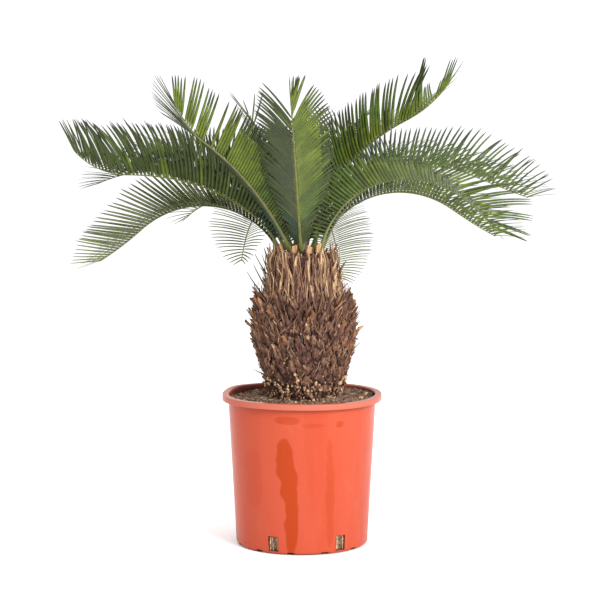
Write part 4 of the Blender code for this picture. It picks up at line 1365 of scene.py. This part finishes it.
looks = {
    "frond_front": Look(
        *(bright, deep, deep, 16, 0.5, 51, 1.7, 0.0078, 0.0041, 0.98, 0.26, -0.10, 0),
        gaps=((1, 0.865, 0.885),),
        plume=0.88,
        right_end=(0.5, 0.60),
    ),
    "frond_left_high": Look(
        *(bright, deep, deep, 14, 0.8, 58, 0.8, 0.0078, 0.0039, 0.56, 0.10, 0.04, 12),
        gaps=((1, 0.72, 0.76), (1, 0.60, 0.62)),
    ),
    "frond_right_high": Look(
        mid, mid, deep, 6, 0.6, 58, 0.9, 0.0070, 0.0036, 0.44, 0.10, 0.14, 4, clump=0.79
    ),
    "frond_left_mid": Look(deep, mid, deep, 6, 0.9, 70, 0.8, 0.0076, 0.0035, 0.40, 0.14, 0.13, loose=5),
    "frond_right_mid": Look(
        mid, bright, mid, 8, 0.5, 68, 0.2, 0.0076, 0.0038, 0.46, 0.12, 0.08, 14, tilt=8, skew=-8, loose=10
    ),
    "frond_left_low": Look(
        pale, pale, pale, 24, 0.15, 62, 0.2, 0.0074, 0.0036, 0.56, 0.06, -0.05, 14, tilt=-27, skew=13
    ),
    "frond_right_far": Look(
        mid, mid, dark_tip, 14, 0.75, 76, 0.2, 0.0078, 0.0031, 0.64, 0.08, 0.06, 12, tilt=14, skew=-8, loose=8
    ),
    "frond_right_low": Look(
        mid, mid, mid, 8, 0.6, 68, 0.2, 0.0078, 0.0034, 0.50, 0.14, 0.06, 10, tilt=8, skew=-6, loose=10
    ),
    "frond_left_far": Look(blue, blue),
    "frond_back_left_hanging": Look(pale, pale, pale, 8, 0.20, 80, 0.5, 0.0070, 0.0030, 0.22, 0.16, 0.02),
    "frond_back_right_hanging": Look(pale, pale, pale, 6, 0.20, 78, 0.5, 0.0068, 0.0030, 0.36, 0.18, 0.02),
    "frond_back_left_low": Look(mid, pale, pale),
    "frond_back_right": Look(blue, blue),
    "frond_back_left": Look(blue, deep),
    "frond_back_mid": Look(blue, blue),
    "frond_back_high": Look(deep, blue),
    "frond_back_left_high": Look(deep, deep, gaps=((-1, 0.70, 0.90),)),
}


def blended(share, base, middle, tip):
    """A measure of the rib at a share of its length, from those at its base, first leaflets and tip."""
    if share < bare_share:
        return base + (middle - base) * share / bare_share
    return middle + (tip - middle) * (share - bare_share) / (1 - bare_share)


# How far the rib's round section is squared off.
square = 1.18
rib_pieces = []
rib_paths = {}
for frond in fronds:
    path = rib_path(frond)
    rib_paths[frond.name] = path
    made = np.empty_like(rib.points)
    for share, picked in rings_of(rib.points):
        place, along, left, up = rib_frame(frond, path, share)
        half_width = blended(share, 0.0096, 0.0048, 0.0018) / 2
        half_depth = blended(share, 0.0078, 0.0036, 0.0016) / 2
        x, y = rib.points[picked][:, 0:1], rib.points[picked][:, 1:2]
        ring = np.array(place) + np.array(left) * np.clip(x * square, -1, 1) * half_width
        ring = ring + np.array(up) * np.clip(y * square, -1, 1) * half_depth
        if share < 0.001:
            ring[:, 2] = place.z
        made[picked] = ring
    piece = gathered(frond.name + "_rib", [(made, rib.faces, 0)], [rib_finish])
    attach(piece, "root")
    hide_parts(frond.name)
    rib_pieces.append(piece)

bpy.context.view_layer.update()
graph = bpy.context.evaluated_depsgraph_get()
rib_trees = {frond.name: BVHTree.FromObject(piece, graph) for frond, piece in zip(fronds, rib_pieces)}
limb_trees = [BVHTree.FromObject(piece, graph) for piece in (trunk_core, pot_shell, stub_ends)]


def touches(points, trees):
    """Whether the line through a leaflet's middle crosses any of the trees."""
    shares = leaflet.points[:, 2]
    middles = [Vector(points[shares == share].mean(axis=0)) for share in np.unique(shares)]
    for a, b in zip(middles[1:], middles[2:]):
        for tree in trees:
            if tree.ray_cast(a, (b - a).normalized(), (b - a).length)[0] is not None:
                return True
    return False


def gathered_turns(pairs, reach, look):
    """How far each leaflet leans along the rib, so that here and there a few touch at their tips. One that
    is missing between two such groups is None."""
    turns = []
    while len(turns) < pairs:
        open_end = look.gaps and len(turns) > 0.56 * pairs
        count = chance.randint(3, 6) if open_end else chance.randint(2, 4)
        pulls = (0.15, 0.3, 0.55) if open_end else (0.0, 0.0, 0.4, 0.95)
        pull = look.gather * chance.choice(pulls) * chance.uniform(0.75, 1.05)
        for i in range(count):
            away = (i - (count - 1) / 2) * look.apart
            turns.append(math.degrees(math.atan(pull * away / reach)))
        if open_end and chance.random() < 0.7:
            turns[-1] = None
    return turns[:pairs]


def stays_in(points, low, high):
    """Whether a leaflet keeps to its frond's own space, give or take what a soft thing may stand proud."""
    proud = 0.010
    above = (points.min(axis=0) > np.array(low) - proud).all()
    return above and (points.max(axis=0) < np.array(high) + proud).all()


def leaflet_turns(frond, look, side, share, fan, own, shared):
    """How far a leaflet leans forward along the rib and lifts out of the frond's plane, in degrees."""
    forward = look.forward + 13.0 * max(0.0, 1.0 - share / 0.4)
    forward -= fan * 40.0 * max(0.0, (share - 0.68) / 0.32) ** 1.6
    forward -= look.close * max(0.0, (share - 0.90) / 0.10)
    forward += 0.35 * shared + 0.65 * own + chance.uniform(-0.8, 0.8) + look.skew * side
    forward += look.loose * max(0.0, (share - 0.6) / 0.4) * chance.uniform(-1.0, 1.0)
    lift = frond.opening + look.tilt * side + chance.uniform(-1.5, 1.5) + 0.6 * own
    if share > look.plume:
        forward = chance.uniform(16, 30)
        lift = chance.uniform(44, 76) if side == 1 else chance.uniform(84, 116)
    return forward, lift


def clumped(frond, look, share, forward, reach):
    """A clump has pulled the leaflets before it together, and those after it are short."""
    away = share - look.clump
    if look.clump and abs(away) < 0.11:
        pull = 1.0 - (away / 0.11) ** 2 if away < 0 else 0.9
        forward += pull * math.degrees(math.atan(away * frond.length / reach))
        reach *= 1.0 + 0.12 * pull if away < 0.06 else 0.45
    elif look.clump and 0.0 < away < 0.14:
        reach *= 0.45
    return forward, reach


def leaflet_greens(look, side, share):
    """The finish of each face of a leaflet: darker near the trunk as painted shade in the heart of the crown,
    and here and there another green.
    """
    green = look.left if side == 1 else look.right
    # Painted shade: near the trunk a bright frond's leaflets take mid green, nearer still deeper greens, and
    # their feet the deep one.
    if chance.random() < 0.10 or (green == bright and share < 0.36):
        green = {bright: mid, mid: deep, deep: mid, pale: mid, blue: deep}[green]
    if share < 0.20:
        green = {bright: deep, mid: deep, deep: blue, pale: deep, blue: blue}[green]
    near = bright if green == mid and share > 0.40 else green
    if share > look.plume:
        green = near = bright
    outer = green if chance.random() < 0.25 else look.outer
    tip = grey_tip if green == pale else dark_tip
    foot = deep if share < 0.20 else bare
    return [(foot, near, green, outer, tip)[zone] for zone in leaflet_zones]


# A leaflet that would cross something is made shorter step by step, and left out where none of these fits.
shortened = (1.0, 0.93, 0.86, 0.79, 0.72, 0.64, 0.56, 0.48, 0.40)
chance = random.Random(41)
for frond in fronds:
    path = rib_paths[frond.name]
    frond_low, frond_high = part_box(frond.name)
    others = limb_trees + [tree for name, tree in rib_trees.items() if name != frond.name]
    look = looks[frond.name]
    pairs = round(frond.length * (1 - leaflet_from) / look.apart)
    shared = gathered_turns(pairs, frond.leaflet, look)
    copies = []
    for side in (1, -1):
        own = gathered_turns(pairs, frond.leaflet, look)
        fan, tip_length = (look.fan, look.tip) if side == 1 or not look.right_end else look.right_end
        for k in range(pairs):
            share = leaflet_from + (1 - leaflet_from) * (k + 0.5 + 0.04 * side) / pairs
            in_gap = any(side == gap_side and low < share < high for gap_side, low, high in look.gaps)
            if own[k] is None or in_gap:
                continue
            forward, lift = leaflet_turns(frond, look, side, share, fan, own[k], shared[k] or 0.0)
            reach = leaflet_length(frond, share, tip_length) * chance.uniform(0.955, 1.01)
            if share > look.plume:
                reach *= chance.uniform(0.75, 1.0)
            forward, reach = clumped(frond, look, share, forward, reach)
            droop = look.droop * chance.uniform(0.75, 1.15) * (1.0 - 0.6 * max(0.0, (share - 0.7) / 0.3))
            width = look.half * (0.62 + 0.38 * reach / frond.leaflet)
            width *= 1.0 - 0.36 * max(0.0, (share - 0.5) / 0.5)
            if share > look.plume:
                width *= 1.5
            turns = [math.radians(angle) for angle in (forward, lift, look.slat)]
            rib_half = blended(share, 0.0090, 0.0050, 0.0020) / 2 * 0.8
            aim = Aim(side, turns[0], turns[1], droop, look.sweep, turns[2], width, rib_half)
            numbers = leaflet_greens(look, side, share)
            frame = rib_frame(frond, path, share)
            for part in shortened:
                points = leaflet_points(frame, aim, reach * part)
                if stays_in(points, frond_low, frond_high) and not touches(points, others):
                    copies.append((points, leaflet.faces, numbers))
                    break
    piece = gathered(frond.name + "_leaflets", copies, leaf_finishes)
    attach(piece, "root")
    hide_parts(frond.name)

# The studio. A plain pale floor, soft light from all round with the brighter side at the right front, and
# the camera at the height of the crown, as the photograph was taken.
bpy.ops.object.select_all(action="DESELECT")
bpy.ops.mesh.primitive_plane_add(size=160.0, location=(0, 0, -0.0005))
studio_floor = bpy.context.object
studio_floor.name = "studio_floor"
paper_colours = ((0.90, 0.90, 0.90), (0.91, 0.91, 0.91))
paper = mottled("pale floor", (0.90, 0.90, 0.90), 0.9, 0.5, (1.5, 0.3, 0.7), *paper_colours)
studio_floor.data.materials.append(paper)

world = bpy.data.worlds.new("studio_sky")
bpy.context.scene.world = world
world.use_nodes = True
world.node_tree.nodes["Background"].inputs["Color"].default_value = (1.0, 1.0, 1.0, 1.0)
world.node_tree.nodes["Background"].inputs["Strength"].default_value = 1.2


def soft_light(name, place, aim, size, power):
    bpy.ops.object.select_all(action="DESELECT")
    bpy.ops.object.light_add(type="AREA", location=place)
    light = bpy.context.object
    light.name = name
    light.data.size = size
    light.data.energy = power
    light.rotation_euler = (Vector(aim) - Vector(place)).to_track_quat("-Z", "Y").to_euler()
    return light


soft_light("key_light", (2.4, -3.6, 2.4), (0, 0, 0.55), 1.8, 275.0)
soft_light("top_light", (-0.6, 0.6, 3.6), (0, 0, 0.6), 2.4, 60.0)

bpy.ops.object.camera_add(location=(-0.004, -4.5, 1.0))
camera = bpy.context.object
camera.name = "photo_camera"
camera.data.lens = 135.0
camera.data.sensor_width = 36.0
camera.rotation_euler = (Vector((-0.004, 0.0, 0.494)) - camera.location).to_track_quat("-Z", "Y").to_euler()
bpy.context.scene.camera = camera
